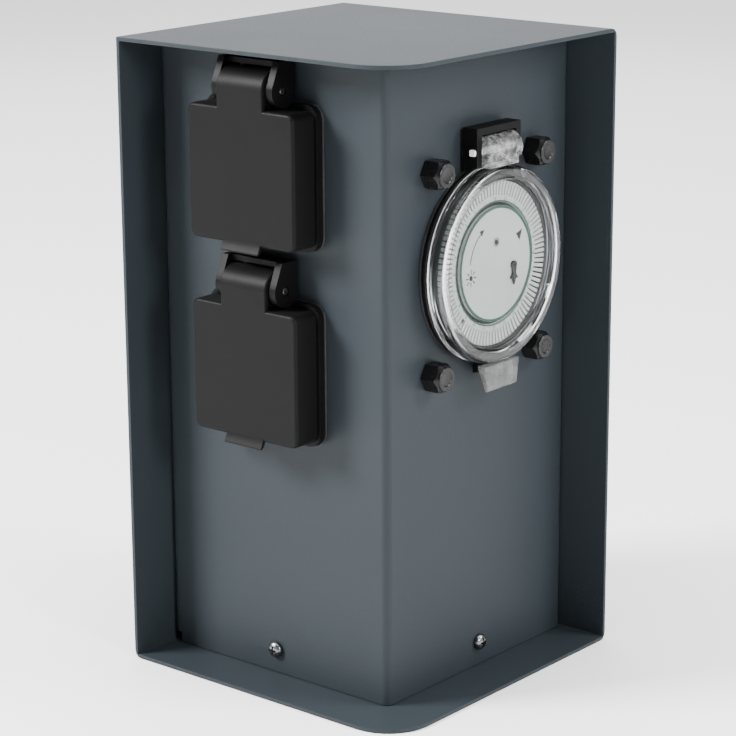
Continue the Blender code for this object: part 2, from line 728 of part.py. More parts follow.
def earth_clip(name, place):
    """A spring strap across the well's floor, with a leg up the wall at the top and at the bottom."""
    back = -WELL_FLOOR - GAP
    reach = WELL_RADIUS - 4 * GAP
    lip = back - 0.7 * WELL_DEPTH
    bulge = CLIP_WIDTH / 4
    half = [
        (back, 0.0),
        (back, reach),
        (lip + bulge, reach),
        (lip + bulge / 2, reach - bulge),
        (lip, reach - bulge / 2),
    ]
    mirrored = [(y, -z) for y, z in half[:0:-1]]
    outer = mirrored + half[1:]
    inner_half = [
        (lip, reach - bulge / 2 - CLIP_THICKNESS),
        (lip + bulge / 2, reach - bulge - CLIP_THICKNESS),
        (lip + bulge + CLIP_THICKNESS, reach - CLIP_THICKNESS),
        (back - CLIP_THICKNESS, reach - CLIP_THICKNESS),
    ]
    inner = inner_half + [(y, -z) for y, z in inner_half[::-1]]
    strap = prism(outer + inner, "X", -CLIP_WIDTH / 2, CLIP_WIDTH / 2)
    hole = rod(SCREW_SHANK_RADIUS + GAP, "Y", back - SHEET, back + SHEET, HOLE_ROUND)
    node(name + "_earth_clip", cut(strap, hole), BRASS, place)


def socket_screws(name, place):
    """The screw through the clip, and two screws that hold the flange to the cover."""
    head_back = -WELL_FLOOR - 2 * GAP - CLIP_THICKNESS
    middle = pan_screw("Y", -1, -head_back, INSERT_DEPTH / 3)
    node(name + "_insert_screw", middle, SCREW_STEEL, place)
    for side, label in ((-1, "a"), (1, "b")):
        screw = pan_screw("Y", -1, FLANGE_FRONT + GAP, FLANGE_FRONT + 3 * SHEET)
        offset = (side * FIXING_SPACING / 2, 0.0, -side * FIXING_SPACING / 2)
        bmesh.ops.translate(screw, verts=screw.verts, vec=offset)
        node(f"{name}_flange_screw_{label}", screw, SCREW_STEEL, place)


def socket_lid(name, place):
    """A boxed lid whose front runs on upwards as a tongue and curls round the hinge pin."""
    axis = (-LID_AXIS_OUT, LID_AXIS_UP)
    outline = rounded_rectangle(LID_WIDTH, LID_HEIGHT, LID_CORNER)
    body = prism(outline, "Y", -LID_FRONT, -LID_BACK)
    bevel_edges(body, lambda middle: abs(middle.y + LID_FRONT) < SHEET / 100, LID_EDGE, 2)
    inside = rounded_rectangle(
        LID_WIDTH - 2 * LID_WALL, LID_HEIGHT - 2 * LID_WALL, LID_CORNER - LID_WALL / 2
    )
    hollow = prism(inside, "Y", -LID_FRONT + LID_WALL, 0.0)
    tongue_low = LID_HEIGHT / 2 - 2 * LID_WALL
    outer = arc(axis, BARREL_RADIUS, 180, -60, CURL_STEPS)
    inner = arc(axis, BARREL_RADIUS - BARREL_WALL, -60, 180, CURL_STEPS)
    inner_face = -LID_FRONT + BARREL_WALL
    curl = [(-LID_FRONT, tongue_low), *outer, *inner, (inner_face, tongue_low)]
    half = TONGUE_WIDTH / 2
    tongue = prism(curl, "X", -half, half)
    knuckles = []
    for side in (-1, 1):
        low, high = sorted((side * (half - GAP / 2), side * (half - KNUCKLE_LENGTH)))
        knuckles.append(rod(BARREL_RADIUS - BARREL_WALL / 3, "X", low, high, SMALL_ROUND + 1, axis))
    lip = prism(lip_outline(), "X", -LIP_WIDTH / 2, LIP_WIDTH / 2)
    pin_hole = rod(PIN_RADIUS + GAP, "X", -LID_WIDTH, LID_WIDTH, HOLE_ROUND, axis)
    shape = joined(joined(cut(body, hollow), tongue, *knuckles), lip)
    shape = cut(shape, pin_hole)
    node(name + "_socket_lid", shape, BLACK_PLASTIC, place, (0.0, -LID_AXIS_OUT, LID_AXIS_UP))


def lip_outline():
    """The side view of the finger lip as (y, z): it flares out as it drops below the lid."""
    bottom = -LID_HEIGHT / 2
    front = -LID_FRONT - LIP_FLARE
    return [
        (-LID_FRONT + LID_WALL / 3, bottom + 1.5 * LID_WALL),
        (front, bottom - LIP_DROP),
        (front + 0.6 * LID_WALL, bottom - LIP_DROP),
        (-LID_FRONT + LID_WALL - GAP, bottom + LID_WALL / 2),
    ]


def lid_seal(name, place):
    """A rubber ring inside the lid that closes on the flange round the well."""
    inner = WELL_RADIUS + GAP
    front = -LID_FRONT + LID_WALL + GAP
    shape = ring(inner, inner + SEAL_WIDTH, "Y", front, -LID_BACK - GAP, MIDDLE_ROUND)
    node(name + "_lid_seal", shape, BLACK_RUBBER, place, (0.0, -LID_AXIS_OUT, LID_AXIS_UP))


def lid_pin_and_spring(name, place):
    axis = (-LID_AXIS_OUT, LID_AXIS_UP)
    reach = TONGUE_WIDTH / 2 + EAR_THICKNESS + GAP
    node(name + "_lid_pin", rod(PIN_RADIUS, "X", -reach, reach, HOLE_ROUND, axis), SPRING_STEEL, place)
    length = TONGUE_WIDTH - 2 * KNUCKLE_LENGTH - 4 * SPRING_WIRE_RADIUS
    steps = SPRING_STEPS * SPRING_TURNS
    points = []
    for i in range(steps + 1):
        turn = math.tau * SPRING_TURNS * i / steps
        across = length * (i / steps - 0.5)
        points.append(
            Vector(
                (across, axis[0] + SPRING_RADIUS * math.cos(turn), axis[1] + SPRING_RADIUS * math.sin(turn))
            )
        )
    node(name + "_lid_spring", tube_along(points, SPRING_WIRE_RADIUS, SPRING_SIDES), SPRING_STEEL, place)


def socket(name, height):
    place = (SOCKET_X, FACE_A, height)
    socket_frame(name, place)
    socket_gasket(name, place)
    socket_insert(name, place)
    contact_sleeves(name, place)
    earth_clip(name, place)
    socket_screws(name, place)
    socket_lid(name, place)
    lid_seal(name, place)
    lid_pin_and_spring(name, place)


# ---------------------------------------------------------------------------------------------------------
# Day timer. Drawn with x = out, y across and z up, about the dial's centre on the cover's face.
# ---------------------------------------------------------------------------------------------------------


def timer_case():
    """A round tub behind the cover, with a plate, four studs, a collar and posts for the gears."""
    plate_width = STUD_SPACING_WIDE + 2 * CASE_PLATE_MARGIN
    plate_height = STUD_SPACING_TALL + 2 * CASE_PLATE_MARGIN
    plate_back = CASE_FRONT - CASE_PLATE_THICKNESS
    plate = prism(
        rounded_rectangle(plate_width, plate_height, CASE_PLATE_MARGIN), "X", plate_back, CASE_FRONT
    )
    tub = rod(CASE_RADIUS, "X", CASE_BACK, CASE_FRONT - CASE_WALL, LARGE_ROUND)
    collar = rod(COLLAR_RADIUS, "X", plate_back + SHEET / 2, COLLAR_FRONT, LARGE_ROUND)
    studs = []
    for point in stud_points():
        studs.append(rod(STUD_RADIUS, "X", plate_back + SHEET / 2, STUD_LENGTH, HOLE_ROUND, point))
    hollow = rod(COLLAR_RADIUS - COLLAR_WALL, "X", CASE_BACK + CASE_WALL, 2 * COLLAR_FRONT, LARGE_ROUND)
    idler_y, idler_z = idler_point()
    floor = CASE_BACK + CASE_WALL / 2
    arbor = rod(ARBOR_RADIUS, "X", floor, PLATE_BACK - GAP, SMALL_ROUND)
    axle = rod(AXLE_RADIUS, "X", floor, GEAR_BACK + 2 * GEAR_WIDTH, HOLE_ROUND, (idler_y, idler_z))
    holes = [wire_hole(y, z) for y, z in switch_terminals()]
    shell = cut(joined(plate, tub, collar), hollow)
    shape = joined(cut(shell, *holes), arbor, axle, *studs)
    node("timer_case", shape, GREY_PLASTIC, timer_place())


def timer_place():
    return (FACE_B, TIMER_Y, TIMER_HEIGHT)


def wire_hole(y, z):
    low, high = CASE_BACK - CASE_WALL, CASE_BACK + 2 * CASE_WALL
    return rod(WIRE_RADIUS + RUNNING_GAP, "X", low, high, HOLE_ROUND, (y, z))


def motor_point():
    return (MOTOR_DISTANCE * math.cos(MOTOR_ANGLE), MOTOR_DISTANCE * math.sin(MOTOR_ANGLE))


def idler_point():
    """The idler stands one mesh from the dial's gear and one mesh from the motor's pinion."""
    from_dial = DIAL_GEAR_RADIUS + PINION_RADIUS
    from_motor = IDLER_RADIUS + PINION_RADIUS
    opposite = from_dial**2 + MOTOR_DISTANCE**2 - from_motor**2
    angle = MOTOR_ANGLE + math.acos(opposite / (2 * from_dial * MOTOR_DISTANCE))
    return (from_dial * math.cos(angle), from_dial * math.sin(angle))


def timer_bezel():
    """The black ring round the dial, with the lid's hinge block above it and its catch below."""
    ring_part = ring(COLLAR_RADIUS + GAP, BEZEL_RADIUS, "X", BEZEL_BACK, BEZEL_FRONT, LARGE_ROUND)
    half = HINGE_BLOCK_WIDTH / 2
    foot = BEZEL_RADIUS - COLLAR_WALL
    base = prism(rectangle(-half, half, foot, TIMER_AXIS_UP), "X", BEZEL_BACK, BEZEL_FRONT)
    window = rectangle(-half, half, HINGE_BLOCK_TOP - HINGE_BAR, HINGE_BLOCK_TOP)
    bar = prism(window, "X", BEZEL_BACK, HINGE_BLOCK_FRONT)
    ears = []
    for side in (-1, 1):
        low, high = sorted((side * half, side * (half - TIMER_EAR_THICKNESS)))
        outline = rectangle(low, high, BEZEL_RADIUS + GAP, HINGE_BLOCK_TOP)
        ears.append(prism(outline, "X", BEZEL_BACK, HINGE_BLOCK_FRONT))
    catch_low = -BEZEL_RADIUS - LATCH_THICKNESS
    catch_foot = rectangle(-half / 2, half / 2, catch_low, -BEZEL_RADIUS + COLLAR_WALL)
    catch_nib = rectangle(-half / 2, half / 2, catch_low + GAP, -BEZEL_RADIUS - GAP)
    catch = joined(
        prism(catch_foot, "X", BEZEL_BACK, BEZEL_FRONT),
        prism(catch_nib, "X", BEZEL_BACK + GAP, BEZEL_FRONT + BEZEL_THICKNESS),
    )
    whole = joined(ring_part, base, bar, *ears, catch)
    pin_hole = rod(
        TIMER_PIN_RADIUS + GAP, "Y", -BEZEL_RADIUS, BEZEL_RADIUS, HOLE_ROUND, (TIMER_AXIS_OUT, TIMER_AXIS_UP)
    )
    room = TIMER_KNUCKLE_RADIUS + GAP
    inner = half - TIMER_EAR_THICKNESS
    knuckle_room = rod(room, "Y", -inner, inner, SMALL_ROUND, (TIMER_AXIS_OUT, TIMER_AXIS_UP))
    node("timer_bezel", cut(whole, pin_hole, knuckle_room), BLACK_PLASTIC, timer_place())


def timer_rings():
    """The bezel's gasket on the cover, and the seal that the clear lid closes on."""
    gasket = ring(COLLAR_RADIUS + GAP, BEZEL_RADIUS, "X", GAP, GAP + GASKET_THICKNESS, LARGE_ROUND)
    node("timer_gasket", gasket, BLACK_RUBBER, timer_place())
    seal_back = BEZEL_FRONT + GAP
    seal = ring(
        CLEAR_RADIUS - SEAL_WIDTH, BEZEL_RADIUS, "X", seal_back, seal_back + GASKET_THICKNESS, LARGE_ROUND
    )
    node("timer_lid_seal", seal, BLACK_RUBBER, timer_place())


def timer_lid():
    """The clear lid: a turned cap with a recessed window, a hinge knuckle and a finger tab."""
    back = BEZEL_FRONT + GAP + GASKET_THICKNESS + GAP
    edge, step = CLEAR_EDGE, WINDOW_STEP
    window_front = CLEAR_FRONT - step
    inner_rim = CLEAR_RADIUS - CLEAR_WALL
    profile = [
        (0.0, window_front),
        (0.0, window_front - CLEAR_WALL + GAP),
        (WINDOW_RADIUS - GAP, window_front - CLEAR_WALL + GAP),
        (WINDOW_RADIUS + step, CLEAR_FRONT - CLEAR_WALL),
        (inner_rim - GAP, CLEAR_FRONT - CLEAR_WALL),
        (inner_rim, CLEAR_FRONT - CLEAR_WALL - edge),
        (inner_rim, back),
        (CLEAR_RADIUS, back),
        (CLEAR_RADIUS, CLEAR_FRONT - edge),
        (CLEAR_RADIUS - edge, CLEAR_FRONT),
        (WINDOW_RADIUS + step, CLEAR_FRONT),
        (WINDOW_RADIUS, window_front),
    ]
    cap = turned(profile[::-1], "X", LARGE_ROUND + 4)
    half = HINGE_BLOCK_WIDTH / 2 - TIMER_EAR_THICKNESS - GAP
    axis = (TIMER_AXIS_OUT, TIMER_AXIS_UP)
    knuckle = rod(TIMER_KNUCKLE_RADIUS, "Y", -half, half, SMALL_ROUND, axis)
    neck_back = CLEAR_FRONT - 2 * CLEAR_WALL
    neck = prism(
        rectangle(-half, half, inner_rim - CLEAR_WALL, TIMER_AXIS_UP), "X", neck_back, CLEAR_FRONT
    )
    bottom = -CLEAR_RADIUS - LATCH_LENGTH
    side_view = [
        (CLEAR_FRONT - edge / 2, -inner_rim),
        (CLEAR_FRONT - edge / 2, bottom),
        (CLEAR_FRONT - edge / 2 - LATCH_LIP, bottom),
        (CLEAR_FRONT - LATCH_THICKNESS, -CLEAR_RADIUS - LATCH_LIP),
        (CLEAR_FRONT - LATCH_THICKNESS, -inner_rim),
    ]
    tab = prism(side_view, "Y", -TAB_TOP_HALF_WIDTH, TAB_TOP_HALF_WIDTH)
    pin_hole = rod(TIMER_PIN_RADIUS + GAP, "Y", -BEZEL_RADIUS, BEZEL_RADIUS, HOLE_ROUND, axis)
    shape = cut(joined(cap, knuckle, neck, tab), pin_hole)
    node("timer_lid", shape, CLEAR_PLASTIC, timer_place(), (TIMER_AXIS_OUT, 0.0, TIMER_AXIS_UP))
    reach = HINGE_BLOCK_WIDTH / 2 + 2 * GAP
    pin = rod(TIMER_PIN_RADIUS, "Y", -reach, reach, HOLE_ROUND, axis)
    node("timer_lid_pin", pin, WHITE_PLASTIC, timer_place())


def cap_nuts():
    """Four blind hexagonal nuts on the timer's studs, each with a chamfered round end."""
    for number, (y, z) in enumerate(stud_points(), 1):
        blank = prism(hexagon(NUT_FLATS), "X", GAP, NUT_LENGTH)
        corner = NUT_FLATS / math.sqrt(3)
        end = NUT_FLATS / 2 - NUT_CHAMFER / 2
        turned_end = turned(
            [
                (0.0, 0.0),
                (corner + GAP, 0.0),
                (corner + GAP, NUT_LENGTH - NUT_CHAMFER),
                (end, NUT_LENGTH - GAP),
                (0.0, NUT_LENGTH - GAP),
            ],
            "X",
            SMALL_ROUND - 4,
        )
        shape = common(blank, turned_end)
        bore = rod(STUD_RADIUS + GAP, "X", -GAP, STUD_LENGTH + GAP, HOLE_ROUND)
        node(f"cap_nut_{number}", cut(shape, bore), BLACK_PLASTIC, moved(timer_place(), 0.0, y, z))


def moved(place, x, y, z):
    return (place[0] + x, place[1] + y, place[2] + z)


def dial():
    """The turning carrier: a disc with the tappet ring on its front and the dial gear on its hub."""
    bore = ARBOR_RADIUS + GAP
    disc = rod(CARRIER_RADIUS, "X", CARRIER_BACK, DIAL_FRONT, LARGE_ROUND)
    hub = rod(HUB_RADIUS, "X", GEAR_BACK + GAP, CARRIER_BACK + GAP, SMALL_ROUND)
    gear = prism(gear_outline(DIAL_TEETH, GEAR_MODULE), "X", GEAR_BACK, GEAR_BACK + GEAR_WIDTH)
    hole = rod(bore, "X", 2 * GEAR_BACK, 2 * DIAL_FRONT, SMALL_ROUND)
    gear_hole = rod((bore + HUB_RADIUS) / 2, "X", 2 * GEAR_BACK, 2 * DIAL_FRONT, SMALL_ROUND)
    carrier = joined(cut(joined(disc, hub), hole), cut(gear, gear_hole))
    node("dial_carrier", carrier, WHITE_PLASTIC, timer_place())
    node("tappet_ring", tappet_ring(), WHITE_PLASTIC, timer_place())


def tappet_ring():
    """A comb of tappets round the dial. One place is left open for the tappet that slides."""
    pitch = math.tau / TAPPETS
    outline = []
    for i in range(TAPPETS):
        if i == LOOSE_TAPPET:
            continue
        middle = pitch * i
        half = pitch / 2 - TAPPET_SLOT / DIAL_RADIUS
        for radius, turn in ((TAPPET_INNER, -pitch / 2), (DIAL_RADIUS, -half), (DIAL_RADIUS, half)):
            angle = middle + turn
            outline.append((radius * math.cos(angle), radius * math.sin(angle)))
    blank = prism(outline, "X", RING_BACK, RING_FRONT)
    hole = rod(RING_INNER, "X", 0.0, 2 * RING_FRONT, LARGE_ROUND)
    pocket = prism(loose_outline(TAPPET_TRAVEL + GAP, GAP), "X", 0.0, 2 * RING_FRONT)
    return cut(blank, hole, pocket)


def loose_outline(reach, margin):
    """The outline of the sliding tappet at rest, lengthened inwards by "reach" and widened by "margin"."""
    angle = math.tau * LOOSE_TAPPET / TAPPETS
    half = TAPPET_INNER * math.pi / TAPPETS - TAPPET_SLOT / 2 + margin
    low, high = TAPPET_INNER + GAP - reach, DIAL_RADIUS + margin
    corners = ((low, -half), (high, -half), (high, half), (low, half))
    turn = Matrix.Rotation(angle, 2)
    return [tuple(turn @ Vector(corner)) for corner in corners]


def sliding_tappet():
    """One quarter-hour tappet on its own, with a tail that reaches back past the carrier's edge."""
    body = prism(loose_outline(0.0, 0.0), "X", RING_BACK, RING_FRONT)
    angle = math.tau * LOOSE_TAPPET / TAPPETS
    half = TAPPET_SLOT
    low, high = DIAL_RADIUS - 2 * SHEET, DIAL_RADIUS - SHEET
    corners = ((low, -half), (high, -half), (high, half), (low, half))
    turn = Matrix.Rotation(angle, 2)
    tail_outline = [tuple(turn @ Vector(corner)) for corner in corners]
    tail = prism(tail_outline, "X", TAPPET_TAIL, RING_BACK + GAP)
    node("sliding_tappet", joined(body, tail), WHITE_PLASTIC, timer_place())


def centre_plate():
    """The still plate in the middle of the dial, with its time pointer and the override's pivot hole."""
    plate = rod(PLATE_RADIUS, "X", PLATE_BACK, PLATE_FRONT, LARGE_ROUND)
    pointer = rod(POINTER_RADIUS, "X", PLATE_BACK + GAP, PLATE_FRONT + GAP, HOLE_ROUND, (0.0, POINTER_OFFSET))
    hole = rod(AXLE_RADIUS + GAP, "X", 0.0, 2 * PLATE_FRONT, HOLE_ROUND, OVERRIDE_POINT)
    node("centre_plate", cut(joined(plate, pointer), hole), WHITE_PLASTIC, timer_place())


def override_lever():
    """A small lever on the plate that holds the sockets on, or leaves them to the dial."""
    back = PLATE_FRONT + GAP
    front = back + OVERRIDE_THICKNESS
    half = OVERRIDE_WIDTH / 2
    outline = arc((0.0, 0.0), half, 0, 180, 8) + [(-half / 3, -OVERRIDE_LENGTH), (half / 3, -OVERRIDE_LENGTH)]
    arm = prism(outline, "X", back, front)
    stem = rod(AXLE_RADIUS, "X", RING_BACK, front - GAP, HOLE_ROUND)
    node("override_lever", joined(arm, stem), GREY_PLASTIC, moved(timer_place(), 0.0, *OVERRIDE_POINT))


def gear_train():
    """The idler takes the motor's turning to the dial. Both pinions are set with a tooth in a gap."""
    idler_y, idler_z = idler_point()
    motor_y, motor_z = motor_point()
    wheel_back = GEAR_BACK - GEAR_WIDTH - 2 * GAP
    to_dial = math.atan2(-idler_z, -idler_y)
    to_motor = math.atan2(motor_z - idler_z, motor_y - idler_y)
    dial_step, idler_step = math.tau / DIAL_TEETH, math.tau / IDLER_TEETH
    pinion_step = math.tau / PINION_TEETH
    at_dial = (to_dial + math.pi) / dial_step % 1.0
    small_phase = to_dial + pinion_step * (0.5 + at_dial)
    small = prism(
        gear_outline(PINION_TEETH, GEAR_MODULE, phase=small_phase), "X", GEAR_BACK, GEAR_BACK + GEAR_WIDTH
    )
    boss = rod(PINION_RADIUS - 1.3 * GEAR_MODULE, "X", wheel_back, GEAR_BACK + GAP, SMALL_ROUND)
    wheel = prism(
        gear_outline(IDLER_TEETH, GEAR_MODULE, phase=to_motor), "X", wheel_back, wheel_back + GEAR_WIDTH
    )
    bore = rod(AXLE_RADIUS + GAP, "X", 2 * wheel_back, -wheel_back, HOLE_ROUND)
    place = moved(timer_place(), 0.0, idler_y, idler_z)
    node("idler_gear", cut(joined(small, boss, wheel), bore), WHITE_PLASTIC, place)
    shaft_back = wheel_back - MOTOR_SHAFT
    pinion_phase = to_motor + math.pi + pinion_step / 2
    pinion = prism(
        gear_outline(PINION_TEETH, GEAR_MODULE, phase=pinion_phase),
        "X",
        wheel_back - GAP,
        wheel_back + GEAR_WIDTH,
    )
    shaft = rod(AXLE_RADIUS, "X", shaft_back, wheel_back, HOLE_ROUND)
    place = moved(timer_place(), 0.0, motor_y, motor_z)
    node("motor_pinion", joined(pinion, shaft), WHITE_PLASTIC, place)
    front = wheel_back - 2 * GAP
    can = rod(MOTOR_RADIUS, "X", CASE_BACK + CASE_WALL + GAP, front, MIDDLE_ROUND)
    shaft_hole = rod(AXLE_RADIUS + GAP, "X", shaft_back - GAP, front + SHEET, HOLE_ROUND)
    node("timer_motor", cut(can, shaft_hole), GREY_PLASTIC, place)


def switch_terminals():
    """Where the two wires meet the switch, about the dial's centre."""
    y, z = SWITCH_POINT
    third = SWITCH_SIZE[2] / 3
    return ((y, z - third), (y, z + third))


def microswitch():
    """The switch that the tappets work, and the sprung lever over it."""
    y, z = SWITCH_POINT
    depth, width, height = SWITCH_SIZE
    back = CASE_BACK + CASE_WALL + GAP
    body = box((back, y - width / 2, z - height / 2), (back + depth, y + width / 2, z + height / 2))
    node("microswitch", body, BLACK_PLASTIC, timer_place())
    low = back + depth + SHEET
    reach = DIAL_RADIUS - 2 * SHEET
    nose_front = TAPPET_TAIL - 2 * GAP
    thickness = SWITCH_LEVER_THICKNESS
    outline = [
        (low, y - width / 2),
        (low + thickness, y - width / 2),
        (low + thickness, reach - thickness),
        (nose_front, reach - thickness),
        (nose_front, reach),
        (low, reach),
    ]
    arm = prism(outline, "Z", -SWITCH_LEVER_THICKNESS, SWITCH_LEVER_THICKNESS)
    node("switch_lever", arm, SPRING_STEEL, timer_place(), (low, y - width / 2, 0.0))


# ---------------------------------------------------------------------------------------------------------
# Wiring
# ---------------------------------------------------------------------------------------------------------


def wires():
    """The mains wires inside the column. Each one runs from a terminal to the piece that it feeds."""
    block_x, block_y = TERMINAL_POINT
    block_z = SHEET + GAP + TERMINAL_SIZE[2] / 3
    start_y = block_y + TERMINAL_SIZE[1] / 3
    out_y = block_y + TERMINAL_SIZE[1]
    live_x, neutral_x, earth_x = [block_x + offset for offset in pole_offsets()]
    upper, lower = SOCKET_HEIGHTS["upper"], SOCKET_HEIGHTS["lower"]
    contact_y = FACE_A - WELL_FLOOR + INSERT_DEPTH
    bend_y = contact_y + 0.011
    near_socket = PIN_SPACING / 2
    switch_x = FACE_B + CASE_BACK + CASE_WALL - GAP
    clear_x = FACE_B + CASE_BACK - 0.010
    (low_y, low_z), (high_y, high_z) = switch_terminals()
    into = (TIMER_Y + low_y, TIMER_HEIGHT + low_z)
    away = (TIMER_Y + high_y, TIMER_HEIGHT + high_z)
    stud_x, stud_y = EARTH_STUD_POINT
    lug = 2 * EARTH_STUD_RADIUS + WIRE_RADIUS + GAP
    routes = {
        "wire_live_in": (
            BROWN_WIRE,
            [
                (live_x, start_y, block_z),
                (live_x, out_y, block_z + 0.002),
                (live_x - 0.003, 0.030, 0.030),
                (live_x + 0.002, 0.034, 0.075),
                (-0.026, 0.034, 0.118),
                (-0.008, into[0] + 0.002, into[1] - 0.006),
                (clear_x, *into),
                (switch_x, *into),
            ],
        ),
        "wire_live_switched": (
            BLACK_WIRE,
            [
                (switch_x, *away),
                (clear_x, *away),
                (-0.008, 0.022, away[1] + 0.010),
                (SOCKET_X - near_socket, 0.010, upper - 0.003),
                (SOCKET_X - near_socket, bend_y, upper),
                (SOCKET_X - near_socket, contact_y, upper),
            ],
        ),
        "wire_neutral": (
            BLUE_WIRE,
            [
                (neutral_x, start_y, block_z),
                (neutral_x, out_y, block_z + 0.002),
                (neutral_x + 0.004, 0.026, 0.034),
                (-0.014, 0.022, 0.072),
                (SOCKET_X + near_socket, 0.010, lower - 0.012),
                (SOCKET_X + near_socket, bend_y, lower),
                (SOCKET_X + near_socket, contact_y, lower),
            ],
        ),
        "wire_earth": (
            GREEN_WIRE,
            [
                (earth_x, start_y, block_z),
                (earth_x, out_y - 0.002, block_z),
                (earth_x + 0.007, 0.028, block_z),
                (stud_x - 0.015, stud_y - 0.001, block_z - 0.001),
                (stud_x - lug, stud_y, block_z - 0.001),
            ],
        ),
    }
    for name, (finish, stops) in routes.items():
        points = smooth_route([Vector(stop) for stop in stops], WIRE_STEP)
        node(name, tube_along(points, WIRE_RADIUS, WIRE_SIDES), finish)


def timer():
    timer_case()
    timer_bezel()
    timer_rings()
    timer_lid()
    cap_nuts()
    dial()
    sliding_tappet()
    centre_plate()
    override_lever()
    gear_train()
    microswitch()


def main():
    clear_scene()
    outer_shell()
    front_cover()
    cover_fixing("left", 0.0, (SOCKET_X, FACE_A, 0.0))
    cover_fixing("right", math.pi / 2, (FACE_B, TIMER_Y, 0.0))
    cable_bush()
    terminal_block()
    earth_stud()
    for name, height in SOCKET_HEIGHTS.items():
        socket(name, height)
    timer()
    wires()


main()
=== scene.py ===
"""Looks of a timer-switched garden power column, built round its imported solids.

Each group of pieces has its own operator, and the sizes and colours that a user would change are properties.
Everything is in metres, in the frame of the solids.
"""

import json
import math

import bmesh
import bpy
from bpy.props import FloatProperty, FloatVectorProperty, IntProperty, PointerProperty
from mathutils import Matrix, Vector


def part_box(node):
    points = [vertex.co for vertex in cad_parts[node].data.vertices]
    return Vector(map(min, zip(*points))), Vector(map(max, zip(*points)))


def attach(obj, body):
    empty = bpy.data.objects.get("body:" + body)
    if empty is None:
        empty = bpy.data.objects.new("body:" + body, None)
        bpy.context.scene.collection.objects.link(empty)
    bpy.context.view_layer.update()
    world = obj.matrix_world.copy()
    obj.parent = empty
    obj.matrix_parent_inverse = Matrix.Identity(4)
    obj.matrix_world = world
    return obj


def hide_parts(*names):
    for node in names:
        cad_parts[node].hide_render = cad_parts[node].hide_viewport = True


bl_info = {
    "name": "Garden Power Column",
    "version": (1, 0, 0),
    "blender": (4, 5, 0),
    "location": "View3D > Sidebar > Power Column",
    "description": "Builds the looks of a steel garden column with two lidded sockets and a day timer",
    "category": "Object",
}

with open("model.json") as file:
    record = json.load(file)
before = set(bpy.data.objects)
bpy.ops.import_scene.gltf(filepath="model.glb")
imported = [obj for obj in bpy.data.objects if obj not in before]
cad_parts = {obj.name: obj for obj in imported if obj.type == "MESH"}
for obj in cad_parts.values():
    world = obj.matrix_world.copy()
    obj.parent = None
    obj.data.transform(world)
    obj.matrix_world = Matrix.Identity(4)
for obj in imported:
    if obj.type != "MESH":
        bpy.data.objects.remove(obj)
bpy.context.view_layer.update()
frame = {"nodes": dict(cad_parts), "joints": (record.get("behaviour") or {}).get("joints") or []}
SIDES = ("upper", "lower")
DIAL_LOW, DIAL_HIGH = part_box("dial_carrier")
DIAL_CENTRE = (DIAL_LOW + DIAL_HIGH) / 2
DIAL_AXIS = (0.0, DIAL_CENTRE.y, DIAL_CENTRE.z)
SHARP_ANGLE = math.radians(32)
SLANTED, STEEP = math.radians(40), math.radians(50)
GAP = 0.0003
KNUCKLE_PROUD = 0.0010  # how far the clear lid's knuckle stands in front of its cap
TAPPET_ROOT = 0.0248
TAPPET_WIDTHS = (0.00100, 0.00124)  # at its inner and at its outer end
LOOSE_TAPPET_TURN = 225.0  # degrees clockwise from the top


# ----------------------------------------
# Shapes
# ----------------------------------------


def lathe(profile, centre, axis="X", steps=64):
    """Spins (radius, height) points round a line through the centre. A closed profile makes a ring."""
    directions = {"X": ((0, 0, 1), (1, 0, 0)), "Y": ((1, 0, 0), (0, 1, 0)), "Z": ((1, 0, 0), (0, 0, 1))}
    out, along = map(Vector, directions[axis])
    bm = bmesh.new()
    verts = [bm.verts.new(Vector(centre) + out * radius + along * height) for radius, height in profile]
    pairs = list(zip(verts, verts[1:]))
    if profile[0][0] > 0 and profile[-1][0] > 0:
        pairs.append((verts[-1], verts[0]))
    edges = [bm.edges.new(pair) for pair in pairs]
    bmesh.ops.spin(
        bm,
        geom=verts + edges,
        cent=Vector(centre),
        axis=along,
        angle=math.tau,
        steps=steps,
        use_merge=True,
    )
    bmesh.ops.remove_doubles(bm, verts=bm.verts, dist=1e-6)
    bmesh.ops.recalc_face_normals(bm, faces=bm.faces)
    return bm


def plate_of(outline, axis, low, high):
    """A flat outline extruded from low to high along an axis."""
    order = {"X": (1, 2, 0), "Y": (0, 2, 1), "Z": (0, 1, 2)}[axis]
    bm = bmesh.new()
    verts = []
    for u, v in outline:
        place = [0.0, 0.0, 0.0]
        for index, value in zip(order, (u, v, low)):
            place[index] = value
        verts.append(bm.verts.new(place))
    made = bmesh.ops.extrude_face_region(bm, geom=[bm.faces.new(verts)])
    lift = Vector((0.0, 0.0, 0.0))
    lift[order[2]] = high - low
    bmesh.ops.translate(bm, verts=[v for v in made["geom"] if isinstance(v, bmesh.types.BMVert)], vec=lift)
    bmesh.ops.recalc_face_normals(bm, faces=bm.faces)
    return bm


def arc(centre, radius, start, end, steps):
    """Points on an arc with both ends, for angles in degrees."""
    angles = [math.radians(start + (end - start) * i / steps) for i in range(steps + 1)]
    return [(centre[0] + radius * math.cos(a), centre[1] + radius * math.sin(a)) for a in angles]


def round_corners(left, right, low, high, radius, steps=6):
    """The outline of a rectangle with rounded corners."""
    spots = (
        (right - radius, high - radius, 0),
        (left + radius, high - radius, 90),
        (left + radius, low + radius, 180),
        (right - radius, low + radius, 270),
    )
    return [point for u, v, start in spots for point in arc((u, v), radius, start, start + 90, steps)]


